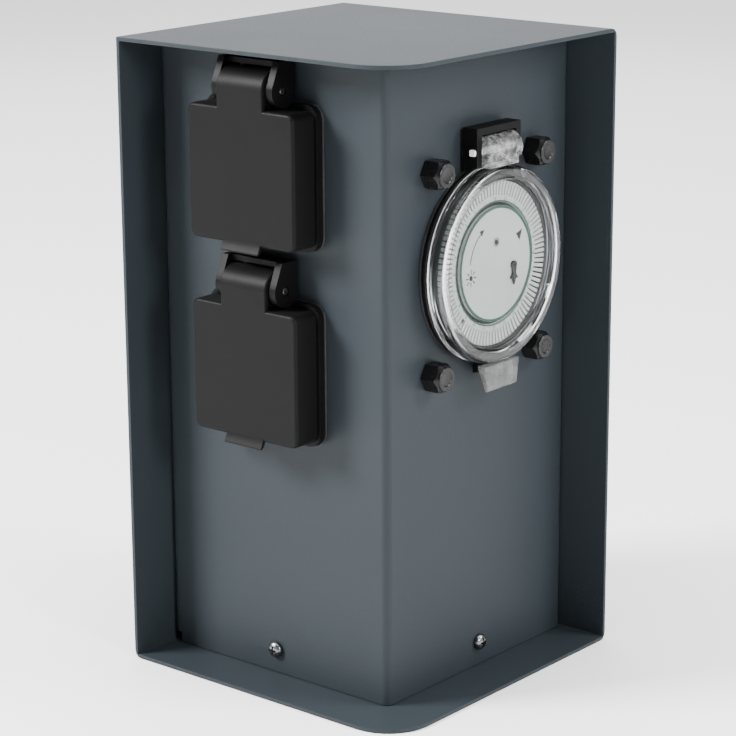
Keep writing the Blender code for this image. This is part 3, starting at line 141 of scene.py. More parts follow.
def bevelled(bm, width, wanted=None, segments=2, angle=SHARP_ANGLE):
    """Rounds the edges that turn by more than the angle and whose middle passes the test."""
    edges = []
    for edge in bm.edges:
        turns = len(edge.link_faces) == 2 and edge.calc_face_angle(0.0) > angle
        if turns and (wanted is None or wanted((edge.verts[0].co + edge.verts[1].co) / 2)):
            edges.append(edge)
    bmesh.ops.bevel(
        bm,
        geom=edges,
        offset=width,
        offset_type="OFFSET",
        segments=segments,
        profile=0.5,
        affect="EDGES",
        clamp_overlap=True,
        material=-1,
    )
    return bm


def together(*shapes):
    """One bmesh that holds every shape."""
    whole = shapes[0]
    for shape in shapes[1:]:
        mesh = bpy.data.meshes.new("part")
        shape.to_mesh(mesh)
        shape.free()
        whole.from_mesh(mesh)
        bpy.data.meshes.remove(mesh)
    return whole


def carved(bm, operation, *tools):
    """The exact Boolean of a shape with each tool in turn."""
    objects = []
    for shape in (bm, *tools):
        mesh = bpy.data.meshes.new("carving")
        shape.to_mesh(mesh)
        shape.free()
        obj = bpy.data.objects.new("carving", mesh)
        bpy.context.scene.collection.objects.link(obj)
        objects.append(obj)
    for tool in objects[1:]:
        modifier = objects[0].modifiers.new("carve", "BOOLEAN")
        modifier.operation = operation
        modifier.solver = "EXACT"
        modifier.object = tool
    bpy.context.view_layer.update()
    evaluated = objects[0].evaluated_get(bpy.context.evaluated_depsgraph_get())
    result = bmesh.new()
    result.from_mesh(evaluated.to_mesh())
    evaluated.to_mesh_clear()
    for obj in objects:
        mesh = obj.data
        bpy.data.objects.remove(obj)
        bpy.data.meshes.remove(mesh)
    bmesh.ops.remove_doubles(result, verts=result.verts, dist=1e-6)
    return result


def piece(name, bm, look, body, replaced):
    """Makes the object of a finished shape, which moves with a body and stands for the replaced nodes."""
    mesh = bpy.data.meshes.new(name)
    bm.to_mesh(mesh)
    bm.free()
    mesh.shade_smooth()
    mesh.set_sharp_from_angle(angle=SHARP_ANGLE)
    obj = bpy.data.objects.new(name, mesh)
    bpy.context.scene.collection.objects.link(obj)
    obj.data.materials.append(finish(look))
    flat = obj.modifiers.new("flat faces", "WEIGHTED_NORMAL")
    flat.keep_sharp = True
    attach(obj, body)
    if replaced:
        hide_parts(*replaced)


def softened(node, width):
    """A merged copy of a solid's surface with its sharp edges rounded."""
    bm = bmesh.new()
    bm.from_mesh(frame["nodes"][node].data)
    bmesh.ops.remove_doubles(bm, verts=bm.verts, dist=1e-6)
    bmesh.ops.dissolve_limit(bm, angle_limit=math.radians(0.5), verts=bm.verts, edges=bm.edges)
    return bevelled(bm, width)


def dressed(look, *nodes):
    """Gives carried-over solids their finish."""
    for node in nodes:
        mesh = frame["nodes"][node].data
        mesh.materials.clear()
        mesh.materials.append(finish(look))


# ----------------------------------------
# Materials
# ----------------------------------------


class Value:
    """A number in a material's node tree. Python's arithmetic on it adds Math nodes."""

    def __init__(self, paint, socket):
        self.paint = paint
        self.socket = socket

    def math(self, operation, *others):
        """Adds a Math node that works on this value and the others."""
        made = self.paint.node("ShaderNodeMath", {"operation": operation}, list(enumerate((self, *others))))
        return Value(self.paint, made.outputs[0])

    def __add__(self, other):
        return self.math("ADD", other)

    __radd__ = __add__

    def __mul__(self, other):
        return self.math("MULTIPLY", other)

    __rmul__ = __mul__

    def __rsub__(self, other):
        return (self * -1.0) + other

    def step(self, low, high):
        """0 below low, 1 above high, and a straight slope between them."""
        made = self.paint.node(
            "ShaderNodeMapRange", {"clamp": True}, [("Value", self), ("From Min", low), ("From Max", high)]
        )
        return Value(self.paint, made.outputs[0])


def socket_of(value):
    """The socket that a Value wraps. Anything else comes back as it is."""
    return value.socket if isinstance(value, Value) else value


class Paint:
    """A Principled material under construction."""

    def __init__(self, name, colour, roughness, **fixed):
        self.material = bpy.data.materials.new(name)
        self.material.use_nodes = True
        self.tree = self.material.node_tree
        self.shader = self.tree.nodes["Principled BSDF"]
        self.shader.inputs["Base Color"].default_value = (*colour[:3], 1.0)
        self.shader.inputs["Roughness"].default_value = roughness
        for socket, value in fixed.items():
            self.shader.inputs[socket.replace("_", " ")].default_value = value
        self.place = self.node("ShaderNodeTexCoord").outputs["Object"]

    def node(self, kind, settings=None, inputs=()):
        """A node of a kind, with its settings, and the values or links of its sockets."""
        made = self.tree.nodes.new(kind)
        for name, value in (settings or {}).items():
            setattr(made, name, value)
        for socket, value in inputs:
            target = made.inputs[socket]
            source = socket_of(value)
            if isinstance(source, bpy.types.NodeSocket):
                self.tree.links.new(source, target)
            else:
                target.default_value = source
        return made

    def noise(self, size, detail=2.0, stretch=(1.0, 1.0, 1.0)):
        """Cloudy variation from 0 to 1, with spots of about a size in metres."""
        mapped = self.node("ShaderNodeMapping", {}, [("Vector", self.place), ("Scale", stretch)])
        made = self.node(
            "ShaderNodeTexNoise",
            {},
            [("Vector", mapped.outputs[0]), ("Scale", 1.0 / size), ("Detail", detail)],
        )
        return Value(self, made.outputs["Fac"])

    def cells(self, size):
        """Distance to the nearest grain of a leather-like or pebbled surface."""
        made = self.node("ShaderNodeTexVoronoi", {}, [("Vector", self.place), ("Scale", 1.0 / size)])
        return Value(self, made.outputs["Distance"])

    def edges(self, width):
        """1 on a sharp outer edge and 0 on a flat, from the bevelled normal."""
        soft = self.node("ShaderNodeBevel", {"samples": 4}, [("Radius", width)])
        flat = self.node("ShaderNodeNewGeometry")
        dot = self.node(
            "ShaderNodeVectorMath", {"operation": "DOT_PRODUCT"}, [(0, soft.outputs[0]), (1, flat.outputs["Normal"])]
        )
        return (1.0 - Value(self, dot.outputs["Value"])).step(0.02, 0.3)

    def part(self, axis):
        """One coordinate of the surface point."""
        split = self.node("ShaderNodeSeparateXYZ", {}, [(0, self.place)])
        return Value(self, split.outputs[axis])

    def mix(self, factor, first, second):
        """A blend of two colours."""
        made = self.node("ShaderNodeMix", {"data_type": "RGBA"})
        for index, value in ((0, factor), (6, first), (7, second)):
            source = socket_of(value)
            if isinstance(source, bpy.types.NodeSocket):
                self.tree.links.new(source, made.inputs[index])
            else:
                made.inputs[index].default_value = source if index == 0 else (*source[:3], 1.0)
        return made.outputs[2]

    def set(self, socket, value):
        """Links a varying value to a socket of the shader."""
        self.tree.links.new(socket_of(value), self.shader.inputs[socket])

    def bump(self, height, distance, strength=1.0):
        """Raises the surface by a height that varies from 0 to 1."""
        made = self.node(
            "ShaderNodeBump", {}, [("Height", height), ("Distance", distance), ("Strength", strength)]
        )
        self.tree.links.new(made.outputs[0], self.shader.inputs["Normal"])

    def see_through(self, rim, body):
        """Lets light straight through, with this much of the surface itself at grazing angles and face on."""
        clear = self.node("ShaderNodeBsdfTransparent", {}, [("Color", (0.97, 0.98, 0.98, 1.0))])
        fresnel = self.node("ShaderNodeLayerWeight", {}, [("Blend", 0.35)])
        share = Value(self, fresnel.outputs["Fresnel"]) * rim + body
        mixed = self.node("ShaderNodeMixShader", {}, [(0, share), (1, clear.outputs[0]), (2, self.shader.outputs[0])])
        self.tree.links.new(mixed.outputs[0], self.tree.nodes["Material Output"].inputs["Surface"])


def paint_powder(settings):
    """Fine-textured powder coat: a pebbled skin, faint cloudiness and slightly worn, paler edges."""
    paint = Paint("powder coat", settings.coat_colour, 0.5, Specular_IOR_Level=0.13)
    cloud = paint.noise(0.045, 3.0)
    speck = paint.noise(0.0007, 2.0)
    worn = paint.edges(0.0006) * paint.noise(0.004, 3.0).step(0.25, 0.75)
    base = Vector(settings.coat_colour)
    body = paint.mix(cloud, base * 0.93, base * 1.07)
    flecked = paint.mix(speck.step(0.55, 0.8) * 0.35, body, base * 1.35)
    paint.set("Base Color", paint.mix(worn * 0.45, flecked, base * 2.1))
    paint.set("Roughness", speck * 0.14 + cloud * 0.05 + 0.36)
    paint.bump(speck + paint.cells(0.0011) * 0.6, 0.00005, 0.55)
    return paint.material


def paint_moulded(name, colour, roughness, grain=0.00045, depth=0.00003, worn=0.5, gloss=0.06):
    """Moulded plastic with a spark-eroded grain and rubbed edges."""
    paint = Paint(name, colour, roughness, Specular_IOR_Level=gloss)
    base = Vector(colour)
    pebble = paint.cells(grain)
    haze = paint.noise(0.02, 4.0)
    rubbed = paint.edges(0.0005) * worn
    body = paint.mix(haze, base * 0.85, base * 1.18)
    paint.set("Base Color", paint.mix(rubbed, body, base * 1.9 + Vector((0.008, 0.008, 0.008))))
    paint.set("Roughness", haze * 0.12 + pebble * 0.08 + (roughness - 0.1))
    paint.bump(pebble, depth, 0.6)
    return paint.material


def paint_rubber():
    paint = Paint("black rubber", (0.014, 0.014, 0.015), 0.8)
    dust = paint.noise(0.006, 5.0)
    paint.set("Base Color", paint.mix(dust.step(0.45, 0.9), (0.011, 0.011, 0.012), (0.035, 0.035, 0.034)))
    paint.set("Roughness", dust * 0.15 + 0.7)
    paint.bump(paint.noise(0.0005), 0.00003, 0.5)
    return paint.material


def paint_window():
    """The flat clear window: light passes straight through, and only its gloss and fine wipe marks show."""
    paint = Paint("window plastic", (0.02, 0.021, 0.021), 0.06)
    wipe = paint.noise(0.0006, 2.0, stretch=(1.0, 0.08, 1.0)).step(0.55, 0.85)
    paint.set("Roughness", wipe * 0.12 + 0.05)
    paint.see_through(0.5, wipe * 0.03 + 0.03)
    return paint.material


def paint_clear(name, roughness, tint):
    """Clear polycarbonate with faint flow marks and fine wipe scratches."""
    paint = Paint(name, tint, roughness, Transmission_Weight=1.0, IOR=1.5, Specular_IOR_Level=0.6)
    flow = paint.noise(0.012, 2.0)
    wipe = paint.noise(0.0006, 2.0, stretch=(1.0, 0.08, 1.0))
    paint.set("Roughness", wipe.step(0.55, 0.85) * 0.08 + flow * 0.03 + roughness)
    paint.bump(flow, 0.0001, 0.25)
    paint.see_through(0.5, flow * 0.1 + 0.55)
    return paint.material


def paint_frosted(name, size, dark, light):
    """Cloudy clear plastic: darker and lighter patches of this size that break up the light, with a painted highlight
    along its sharp edges.
    """
    paint = Paint(name, (light, light, light), 0.15)
    cloud = paint.noise(size, 3.0).step(0.33, 0.67)
    # painted highlight: a mask of the sharp edges, which stands in for the light that clear edges catch
    rim = paint.edges(0.00035).step(0.35, 0.85)
    body = paint.mix(cloud, (dark, dark, dark), (light, light, light))
    # the edges are painted pale grey as a highlight
    paint.set("Base Color", paint.mix(rim, body, (0.75, 0.76, 0.77)))
    paint.set("Roughness", cloud * 0.15 + 0.05)
    paint.bump(cloud, size / 30, 0.4)
    # the painted edge highlight also shows more of the surface on the edges, so they read brighter
    paint.see_through(0.35, cloud * 0.2 + rim * 0.4 + 0.25)
    return paint.material


def paint_metal(name, colour, roughness, size=0.0015):
    """Drawn or plated metal with a fine directional grain and dull patches."""
    paint = Paint(name, colour, roughness, Metallic=1.0)
    grain = paint.noise(size, 3.0, stretch=(1.0, 1.0, 6.0))
    patch = paint.noise(size * 4, 2.0)
    base = Vector(colour)
    paint.set("Base Color", paint.mix(patch, base * 0.8, base * 1.15))
    paint.set("Roughness", grain * 0.2 + (roughness - 0.08))
    paint.bump(grain, 0.00002, 0.4)
    return paint.material


def paint_wire(name, colour, stripe=None):
    """PVC insulation, with a second colour in bands where the wire has one."""
    paint = Paint(name, colour, 0.4)
    base = Vector(colour)
    haze = paint.noise(0.008, 3.0)
    body = paint.mix(haze, base * 0.85, base * 1.15)
    if stripe:
        across = paint.part("X") * 0.9 + paint.part("Z")
        body = paint.mix(across.math("PINGPONG", 0.004).step(0.0019, 0.0021), body, stripe)
    paint.set("Base Color", body)
    paint.set("Roughness", haze * 0.15 + 0.32)
    paint.bump(paint.noise(0.002), 0.00003, 0.4)
    return paint.material


def finishes(settings):
    """Every finish of the column, made once."""
    black = settings.plastic_colour
    return {
        "powder_coat": paint_powder(settings),
        "lid_plastic": paint_moulded("lid plastic", black, 0.46, 0.0005, 0.00004),
        "black_plastic": paint_moulded("black plastic", Vector(black) * 0.8, 0.42),
        "nut_plastic": paint_moulded("nut plastic", Vector(black) * 1.3, 0.28, 0.0004, 0.00002, 0.35, 0.2),
        "insert_plastic": paint_moulded("insert plastic", Vector(black) * 0.9, 0.5, 0.0004),
        "black_rubber": paint_rubber(),
        "clear_plastic": paint_clear("clear plastic", 0.02, (0.96, 0.98, 0.98)),
        "window_plastic": paint_window(),
        "frosted_plastic": paint_frosted("frosted plastic", 0.0024, 0.05, 0.42),
        "hazy_plastic": paint_frosted("hazy plastic", 0.004, 0.13, 0.17),
        "white_plastic": paint_moulded("white plastic", (0.90, 0.91, 0.90), 0.38, 0.0003, 0.00001, 0.1),
        "tappet_plastic": paint_moulded("tappet plastic", (0.86, 0.89, 0.87), 0.36, 0.0003, 0.00001, 0.2),
        "grey_plastic": paint_moulded("grey plastic", (0.035, 0.037, 0.037), 0.45, 0.0004, 0.00002, 0.2),
        "print_green": paint_moulded("green print", (0.055, 0.15, 0.105), 0.5, 0.0002, 0.000004, 0.0),
        "print_dark": paint_moulded("dark print", (0.035, 0.045, 0.04), 0.5, 0.0002, 0.000004, 0.0),
        "screw_steel": paint_metal("screw steel", (0.16, 0.165, 0.17), 0.28),
        "spring_steel": paint_metal("spring steel", (0.60, 0.61, 0.62), 0.27),
        "brass": paint_metal("brass", (0.76, 0.56, 0.26), 0.3),
        "brown_wire": paint_wire("brown insulation", (0.16, 0.07, 0.03)),
        "blue_wire": paint_wire("blue insulation", (0.03, 0.12, 0.45)),
        "green_wire": paint_wire("green and yellow insulation", (0.10, 0.35, 0.06), (0.75, 0.62, 0.05)),
        "black_wire": paint_wire("black insulation", (0.02, 0.02, 0.02)),
    }


FINISHES = {}


def finish(name):
    """A finish by its name. All of them are made on first use."""
    if not FINISHES:
        FINISHES.update(finishes(bpy.context.scene.power_column))
    return FINISHES[name]


# ----------------------------------------
# Settings
# ----------------------------------------


class ColumnSettings(bpy.types.PropertyGroup):
    """Colours and edge sizes of the steel column."""

    coat_colour: FloatVectorProperty(
        name="Coat", description="Powder coat colour", subtype="COLOR", default=(0.0175, 0.0225, 0.0265)
    )
    plastic_colour: FloatVectorProperty(
        name="Plastic", description="Colour of the black mouldings", subtype="COLOR", default=(0.0045, 0.0045, 0.0047)
    )
    sheet_edge: FloatProperty(
        name="Sheet edge", description="Rounding of the cut sheet's edges", default=0.00022, unit="LENGTH"
    )
    moulding_edge: FloatProperty(
        name="Moulding edge", description="Rounding of the mouldings' edges", default=0.0003, unit="LENGTH"
    )


class LidSettings(bpy.types.PropertyGroup):
    """Sizes of the two socket lids."""

    corner: FloatProperty(name="Corner", description="Radius of the lid's corners", default=0.0030, unit="LENGTH")
    edge: FloatProperty(name="Edge", description="Rounding of the lid's front edge", default=0.0012, unit="LENGTH")
    wall: FloatProperty(name="Wall", description="Thickness of the lid's walls", default=0.0020, unit="LENGTH")
    tongue_width: FloatProperty(
        name="Tongue", description="Width of the tongue that curls round the pin", default=0.0218, unit="LENGTH"
    )
    curl_radius: FloatProperty(
        name="Curl", description="Outer radius of the tongue's curl", default=0.0075, unit="LENGTH"
    )
    curl_wall: FloatProperty(name="Curl wall", description="Thickness of the curl", default=0.0022, unit="LENGTH")


class TimerSettings(bpy.types.PropertyGroup):
    """Sizes and counts of the day timer."""

    tappets: IntProperty(name="Tappets", description="Tappets round the dial, the sliding one included", default=96)
    window_radius: FloatProperty(
        name="Window", description="Radius of the clear lid's window", default=0.0314, unit="LENGTH"
    )
    figure_height: FloatProperty(
        name="Figures", description="Height of the hour figures", default=0.0017, unit="LENGTH"
    )
    print_lift: FloatProperty(
        name="Print", description="How far the printing stands above the plate", default=0.00004, unit="LENGTH"
    )


class StageSettings(bpy.types.PropertyGroup):
    """Camera and light."""

    camera_place: FloatVectorProperty(
        name="Camera", description="Where the camera stands", subtype="TRANSLATION", default=(0.5904, -0.7073, 0.3626)
    )
    azimuth: FloatProperty(name="Azimuth", description="Camera's turn about Z, in degrees", default=39.91)
    elevation: FloatProperty(name="Elevation", description="Camera's height angle, in degrees", default=15.16)
    roll: FloatProperty(name="Roll", description="Camera's roll, in degrees", default=-0.33)
    lens: FloatProperty(name="Lens", description="Focal length in millimetres", default=123.45)
    light: FloatProperty(name="Light", description="Strength of the main light in watts", default=14.0)
    floor_colour: FloatVectorProperty(
        name="Floor", description="Colour of the floor", subtype="COLOR", default=(0.86, 0.86, 0.86)
    )


# ----------------------------------------
# Pieces
# ----------------------------------------


class BuildColumn(bpy.types.Operator):
    """Shell, front cover, tabs, bush and cover screws"""

    bl_idname = "power_column.column"
    bl_label = "Steel column"

    def execute(self, context):
        settings = context.scene.power_column
        for node in ("outer_shell", "front_cover"):
            shape = softened(node, settings.sheet_edge)
            piece(node + "_skin", shape, "powder_coat", "column", [node])
        dressed("powder_coat", "cover_tab_left", "cover_tab_right")
        dressed("black_rubber", "cable_bush")
        for side, axis, sign in (("left", "Y", -1), ("right", "X", 1)):
            node = "cover_screw_" + side
            shape = domed_screw(node, axis, sign)
            piece(node + "_head", shape, "screw_steel", "column", [node])
        return {"FINISHED"}


def domed_screw(node, axis, sign):
    """A cross-recessed pan-head screw that fills a node's box. The head points along sign times the axis."""
    low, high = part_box(node)
    index = "XYZ".index(axis)
    others = [i for i in range(3) if i != index]
    centre = (low + high) / 2
    head = (high[others[0]] - low[others[0]]) / 2
    top = high[index] if sign > 0 else low[index]
    tail = low[index] if sign > 0 else high[index]
    centre[index] = 0.0
    dome, shank = 0.0024, 0.0017

    def at(depth):
        return top - sign * depth

    profile = [(0.0, tail), (shank * 0.8, tail), (shank, tail + sign * 0.0006), (shank, at(dome))]
    profile += [(head - 0.0002, at(dome)), (head, at(dome - 0.0002)), (head, at(dome * 0.72))]
    profile += [(head * math.cos(a), at(dome * 0.72 * (1 - math.sin(a)))) for a in (0.25, 0.5, 0.8, 1.1, 1.35)]
    profile.append((0.0, top))
    body = lathe(profile, centre, axis, 40)
    slot, reach = 0.00035, head * 0.52
    cuts = []
    for half_u, half_v in ((slot, reach), (reach, slot)):
        cutter = bmesh.new()
        bmesh.ops.create_cube(cutter, size=2.0)
        sizes = [0.0, 0.0, 0.0]
        sizes[index], sizes[others[0]], sizes[others[1]] = 0.0014, half_u, half_v
        bmesh.ops.scale(cutter, verts=cutter.verts, vec=sizes)
        spot = centre.copy()
        spot[index] = top
        bmesh.ops.translate(cutter, verts=cutter.verts, vec=spot)
        cuts.append(cutter)
    return carved(body, "DIFFERENCE", *cuts)


def hinge_centre(joint):
    """The point on a joint's axis that the record gives."""
    return Vector(next(found["pos_m"] for found in frame["joints"] if found["name"] == joint))


class BuildSockets(bpy.types.Operator):
    """Both earthed sockets with their lids"""

    bl_idname = "power_column.sockets"
    bl_label = "Sockets and lids"

    def execute(self, context):
        column = context.scene.power_column
        for side in SIDES:
            frame_name = side + "_socket_frame"
            shape = softened(frame_name, column.moulding_edge)
            piece(frame_name + "_skin", shape, "black_plastic", "column", [frame_name])
            lid = lid_shape(side, context.scene.socket_lids)
            body, node = side + "_lid", side + "_socket_lid"
            piece(body, lid, "lid_plastic", body, [node])
            dressed("insert_plastic", side + "_socket_insert")
            dressed("black_rubber", side + "_socket_gasket", side + "_lid_seal")
            dressed("brass", side + "_contact_live", side + "_contact_neutral", side + "_earth_clip")
            dressed("spring_steel", side + "_lid_spring")
            for end in ("_insert_screw", "_flange_screw_a", "_flange_screw_b"):
                name = side + end
                piece(name + "_head", domed_screw(name, "Y", -1), "spring_steel", "column", [name])
            pin_low, pin_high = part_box(side + "_lid_pin")
            middle = (pin_low + pin_high) / 2
            reach, radius = (pin_high.x - pin_low.x) / 2, (pin_high.z - pin_low.z) / 2
            chamfer = radius / 5
            profile = [(0.0, -reach), (radius - chamfer, -reach), (radius, -reach + chamfer)]
            profile += [(radius, reach - chamfer), (radius - chamfer, reach), (0.0, reach)]
            pin = lathe(profile, (0.0, 0.0, 0.0), "Z", 24)
            bmesh.ops.rotate(pin, verts=pin.verts, matrix=Matrix.Rotation(math.pi / 2, 3, "Y"))
            bmesh.ops.translate(pin, verts=pin.verts, vec=middle)
            piece(side + "_pin", pin, "screw_steel", "column", [side + "_lid_pin"])
        return {"FINISHED"}


def lid_shape(side, sizes):
    """A boxed lid whose face runs up as a tongue, curls back round the pin and ends in two knuckles."""
    low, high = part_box(side + "_socket_lid")
    axis = hinge_centre(side + "_lid_hinge")
    centre_x = (low.x + high.x) / 2
    front = axis.y - sizes.curl_radius
    body_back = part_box(side + "_lid_seal")[1].y + GAP
    top = axis.z - 0.0065
    bottom = top - 0.049
    outline = round_corners(low.x, high.x, bottom, top, sizes.corner, 8)
    body = plate_of(outline, "Y", front, body_back)
    bevelled(body, sizes.edge, lambda middle: middle.y < front + 1e-5, 5, STEEP)
    inner = round_corners(
        low.x + sizes.wall, high.x - sizes.wall, bottom + sizes.wall, top - sizes.wall, sizes.corner / 2, 8
    )
    hollow = plate_of(inner, "Y", front + sizes.wall, body_back + 0.01)
    axis_point = (axis.y, axis.z)
    outer = arc(axis_point, sizes.curl_radius, 180, -60, 36)
    inner_arc = arc(axis_point, sizes.curl_radius - sizes.curl_wall, -60, 180, 36)
    root = top - 2 * sizes.wall
    curl = [(front, root), *outer, *inner_arc, (front + sizes.curl_wall, root)]
    half = sizes.tongue_width / 2
    tongue = plate_of(curl, "X", centre_x - half, centre_x + half)
    bevelled(tongue, 0.0005, lambda middle: abs(abs(middle.x - centre_x) - half) < 1e-5, 3, STEEP)
    knuckles = []
    for end in (-1, 1):
        outer_x, inner_x = centre_x + end * (half - 0.00045), centre_x + end * (half - 0.0024)
        radius = sizes.curl_radius - sizes.curl_wall / 3
        disc = plate_of(arc(axis_point, radius, 0, 351, 39), "X", *sorted((outer_x, inner_x)))
        knuckles.append(disc)
    lip_half = 0.009
    lip = plate_of(
        [
            (front + sizes.wall / 3, bottom + 1.5 * sizes.wall),
            (front - 0.0006, bottom - 0.0008),
            (front - 0.0014, bottom - 0.0024),
            (front - 0.0014, bottom - 0.0028),
            (front - 0.0006, bottom - 0.0028),
            (front + 0.0004, bottom - 0.0020),
            (front + sizes.wall - 0.0003, bottom + sizes.wall / 2),
        ],
        "X",
        centre_x - lip_half,
        centre_x + lip_half,
    )
    bevelled(lip, 0.0002, None, 2, math.radians(20))
    pin_hole = plate_of(arc(axis_point, 0.0018, 0, 345, 23), "X", centre_x - 0.03, centre_x + 0.03)
    shape = carved(carved(body, "DIFFERENCE", hollow), "UNION", tongue)
    shape = carved(shape, "UNION", *knuckles)
    shape = carved(shape, "UNION", lip)
    return carved(shape, "DIFFERENCE", pin_hole)


class BuildTimerBody(bpy.types.Operator):
    """The timer's case, bezel, gasket, nuts and everything behind the cover"""

    bl_idname = "power_column.timer_body"
    bl_label = "Timer body"

    def execute(self, context):
        column = context.scene.power_column
        shape = softened("timer_bezel", column.moulding_edge)
        piece("bezel", shape, "black_plastic", "column", ["timer_bezel"])
        case = softened("timer_case", column.moulding_edge / 2)
        piece("case", case, "grey_plastic", "column", ["timer_case"])
        dressed("grey_plastic", "timer_motor")
        dressed("black_rubber", "timer_gasket", "timer_lid_seal")
        dressed("insert_plastic", "microswitch")
        dressed("spring_steel", "switch_lever")
        dressed("white_plastic", "idler_gear", "motor_pinion")
        for number in range(1, 5):
            node = f"cap_nut_{number}"
            piece(node + "_cap", cap_nut(node), "nut_plastic", "column", [node])
        low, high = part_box("timer_lid_pin")
        middle, half = (low + high) / 2, (high - low) / 2
        pin = bmesh.new()
        bmesh.ops.create_cube(pin, size=2.0)
        bmesh.ops.scale(pin, verts=pin.verts, vec=half * 0.999)
        bevelled(pin, half.z * 0.35, lambda spot: abs(abs(spot.y) - half.y) > 1e-4, 3, STEEP)
        bmesh.ops.translate(pin, verts=pin.verts, vec=middle)
        piece("lid_pin", pin, "white_plastic", "column", ["timer_lid_pin"])
        return {"FINISHED"}


def cap_nut(node):
    """A blind hexagonal nut: six flats, a turned collar at its foot and a dished round end."""
    low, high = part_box(node)
    centre = (low + high) / 2
    flats = (high.z - low.z) / 2
    corner = (high.y - low.y) / 2
    back, front = low.x, high.x
    hexagon = [
        (centre.y + corner * math.cos(math.tau * i / 6), centre.z + corner * math.sin(math.tau * i / 6))
        for i in range(6)
    ]
    blank = plate_of(hexagon, "X", back, front)
    round_end = flats * 0.9
    profile = [
        (0.0, back - 0.001),
        (corner * 0.97, back - 0.001),
        (corner * 0.99, back + 0.0004),
        (corner * 0.99, front - 0.0020),
        (round_end, front - 0.0007),
        (round_end, front - 0.0002),
        (round_end - 0.0003, front - 0.00001),
        (round_end * 0.62, front - 0.00001),
        (round_end * 0.55, front - 0.0003),
        (0.0, front - 0.0003),
    ]
    turned_blank = lathe(profile, (0.0, centre.y, centre.z), "X", 48)
    return bevelled(carved(blank, "INTERSECT", turned_blank), 0.00012, None, 2, SLANTED)


class BuildClearLid(bpy.types.Operator):
    """The clear timer lid: cap, frosted knuckle and finger tab"""

    bl_idname = "power_column.clear_lid"
    bl_label = "Clear lid"

    def execute(self, context):
        sizes = context.scene.day_timer
        low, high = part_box("timer_lid")
        axis = hinge_centre("clear_lid_hinge")
        centre = DIAL_AXIS
        rim = (high.y - low.y) / 2
        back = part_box("timer_lid_seal")[1].x + GAP
        front, window = high.x - KNUCKLE_PROUD, sizes.window_radius
        glass = [(0.0, front - 0.0023), (window - 0.0003, front - 0.0023)]
        glass += [(window - 0.0003, front - 0.0011), (0.0, front - 0.0011)]
        pane = lathe(glass, centre, "X", 128)
        piece("clear_window", pane, "window_plastic", "clear_lid", ())
        profile = [
            (window - 0.00028, front - 0.0023),
            (window, front - 0.0023),
            (window + 0.0010, front - 0.0015),
            (rim - 0.0020, front - 0.0015),
            (rim - 0.0017, front - 0.0026),
            (rim - 0.0016, back + 0.0003),
            (rim - 0.0013, back),
            (rim - 0.0003, back),
            (rim, back + 0.0003),
            (rim, back + 0.0014),
            (rim - 0.0005, back + 0.0020),
            (rim - 0.0005, front - 0.0016),
            (rim - 0.0008, front - 0.0007),
            (rim - 0.0014, front - 0.0002),
            (rim - 0.0021, front),
            (window + 0.0014, front),
            (window + 0.0009, front - 0.0002),
            (window + 0.0002, front - 0.0009),
            (window - 0.00028, front - 0.0011),
        ]
        cap = lathe(profile, centre, "X", 128)
        piece("clear_cap", cap, "clear_plastic", "clear_lid", ["timer_lid"])
        pin_low, pin_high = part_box("timer_lid_pin")
        half = (pin_high.y - pin_low.y) / 2 - 0.0038
        point = (axis.x, axis.z)
        hole, waist, collar = 0.0018, 0.0051, 0.0055
        barrel = [(hole, -half), (waist, -half), (collar, -half + 0.0004), (collar, -half + 0.0016)]
        barrel += [(waist, -half + 0.0020), (waist, half - 0.0020), (collar, half - 0.0016)]
        barrel += [(collar, half - 0.0004), (waist, half), (hole, half)]
        knuckle = lathe(barrel, (0.0, 0.0, 0.0), "Y", 40)
        bmesh.ops.translate(knuckle, verts=knuckle.verts, vec=(axis.x, centre[1], axis.z))
        neck_low = centre[2] + rim - 0.0004
        neck_back, neck_front = front - 0.0030, front - 0.0003
        neck = plate_of(
            [(neck_back, neck_low), (neck_front, neck_low), (neck_front, axis.z), (neck_back, axis.z)],
            "Y",
            centre[1] - half + 0.0012,
            centre[1] + half - 0.0012,
        )
        bevelled(neck, 0.0003, None, 2, SLANTED)
        joined = carved(knuckle, "UNION", neck)
        bore = plate_of(arc(point, 0.0019, 0, 345, 23), "Y", centre[1] - 0.02, centre[1] + 0.02)
        joined = carved(joined, "DIFFERENCE", bore)
        piece("lid_knuckle", joined, "frosted_plastic", "clear_lid", ())
        foot = centre[2] - rim + 0.0003
        tab = plate_of(
            [
                (front - 0.0006, foot),
                (front - 0.0006, low.z + 0.0004),
                (front - 0.0010, low.z),
                (front - 0.0016, low.z),
                (front - 0.0040, foot - 0.0012),
                (front - 0.0040, foot),
            ],
            "Y",
            centre[1] - 0.0104,
            centre[1] + 0.0104,
        )
        for vert in tab.verts:
            share = (foot - vert.co.z) / (foot - low.z)
            vert.co.y = centre[1] + (vert.co.y - centre[1]) * (1.0 - 0.14 * max(share, 0.0))
        bevelled(tab, 0.0004, None, 3, SLANTED)
        piece("lid_tab", tab, "hazy_plastic", "clear_lid", ())
        return {"FINISHED"}


def set_on_dial(shape, degrees, face=0.0):
    """Turns a shape made at the top clockwise, as the dial is looked at, and moves it to the dial."""
    bmesh.ops.rotate(shape, verts=shape.verts, matrix=Matrix.Rotation(-math.radians(degrees), 3, "X"))
    bmesh.ops.translate(shape, verts=shape.verts, vec=(face, DIAL_CENTRE.y, DIAL_CENTRE.z))
    return shape


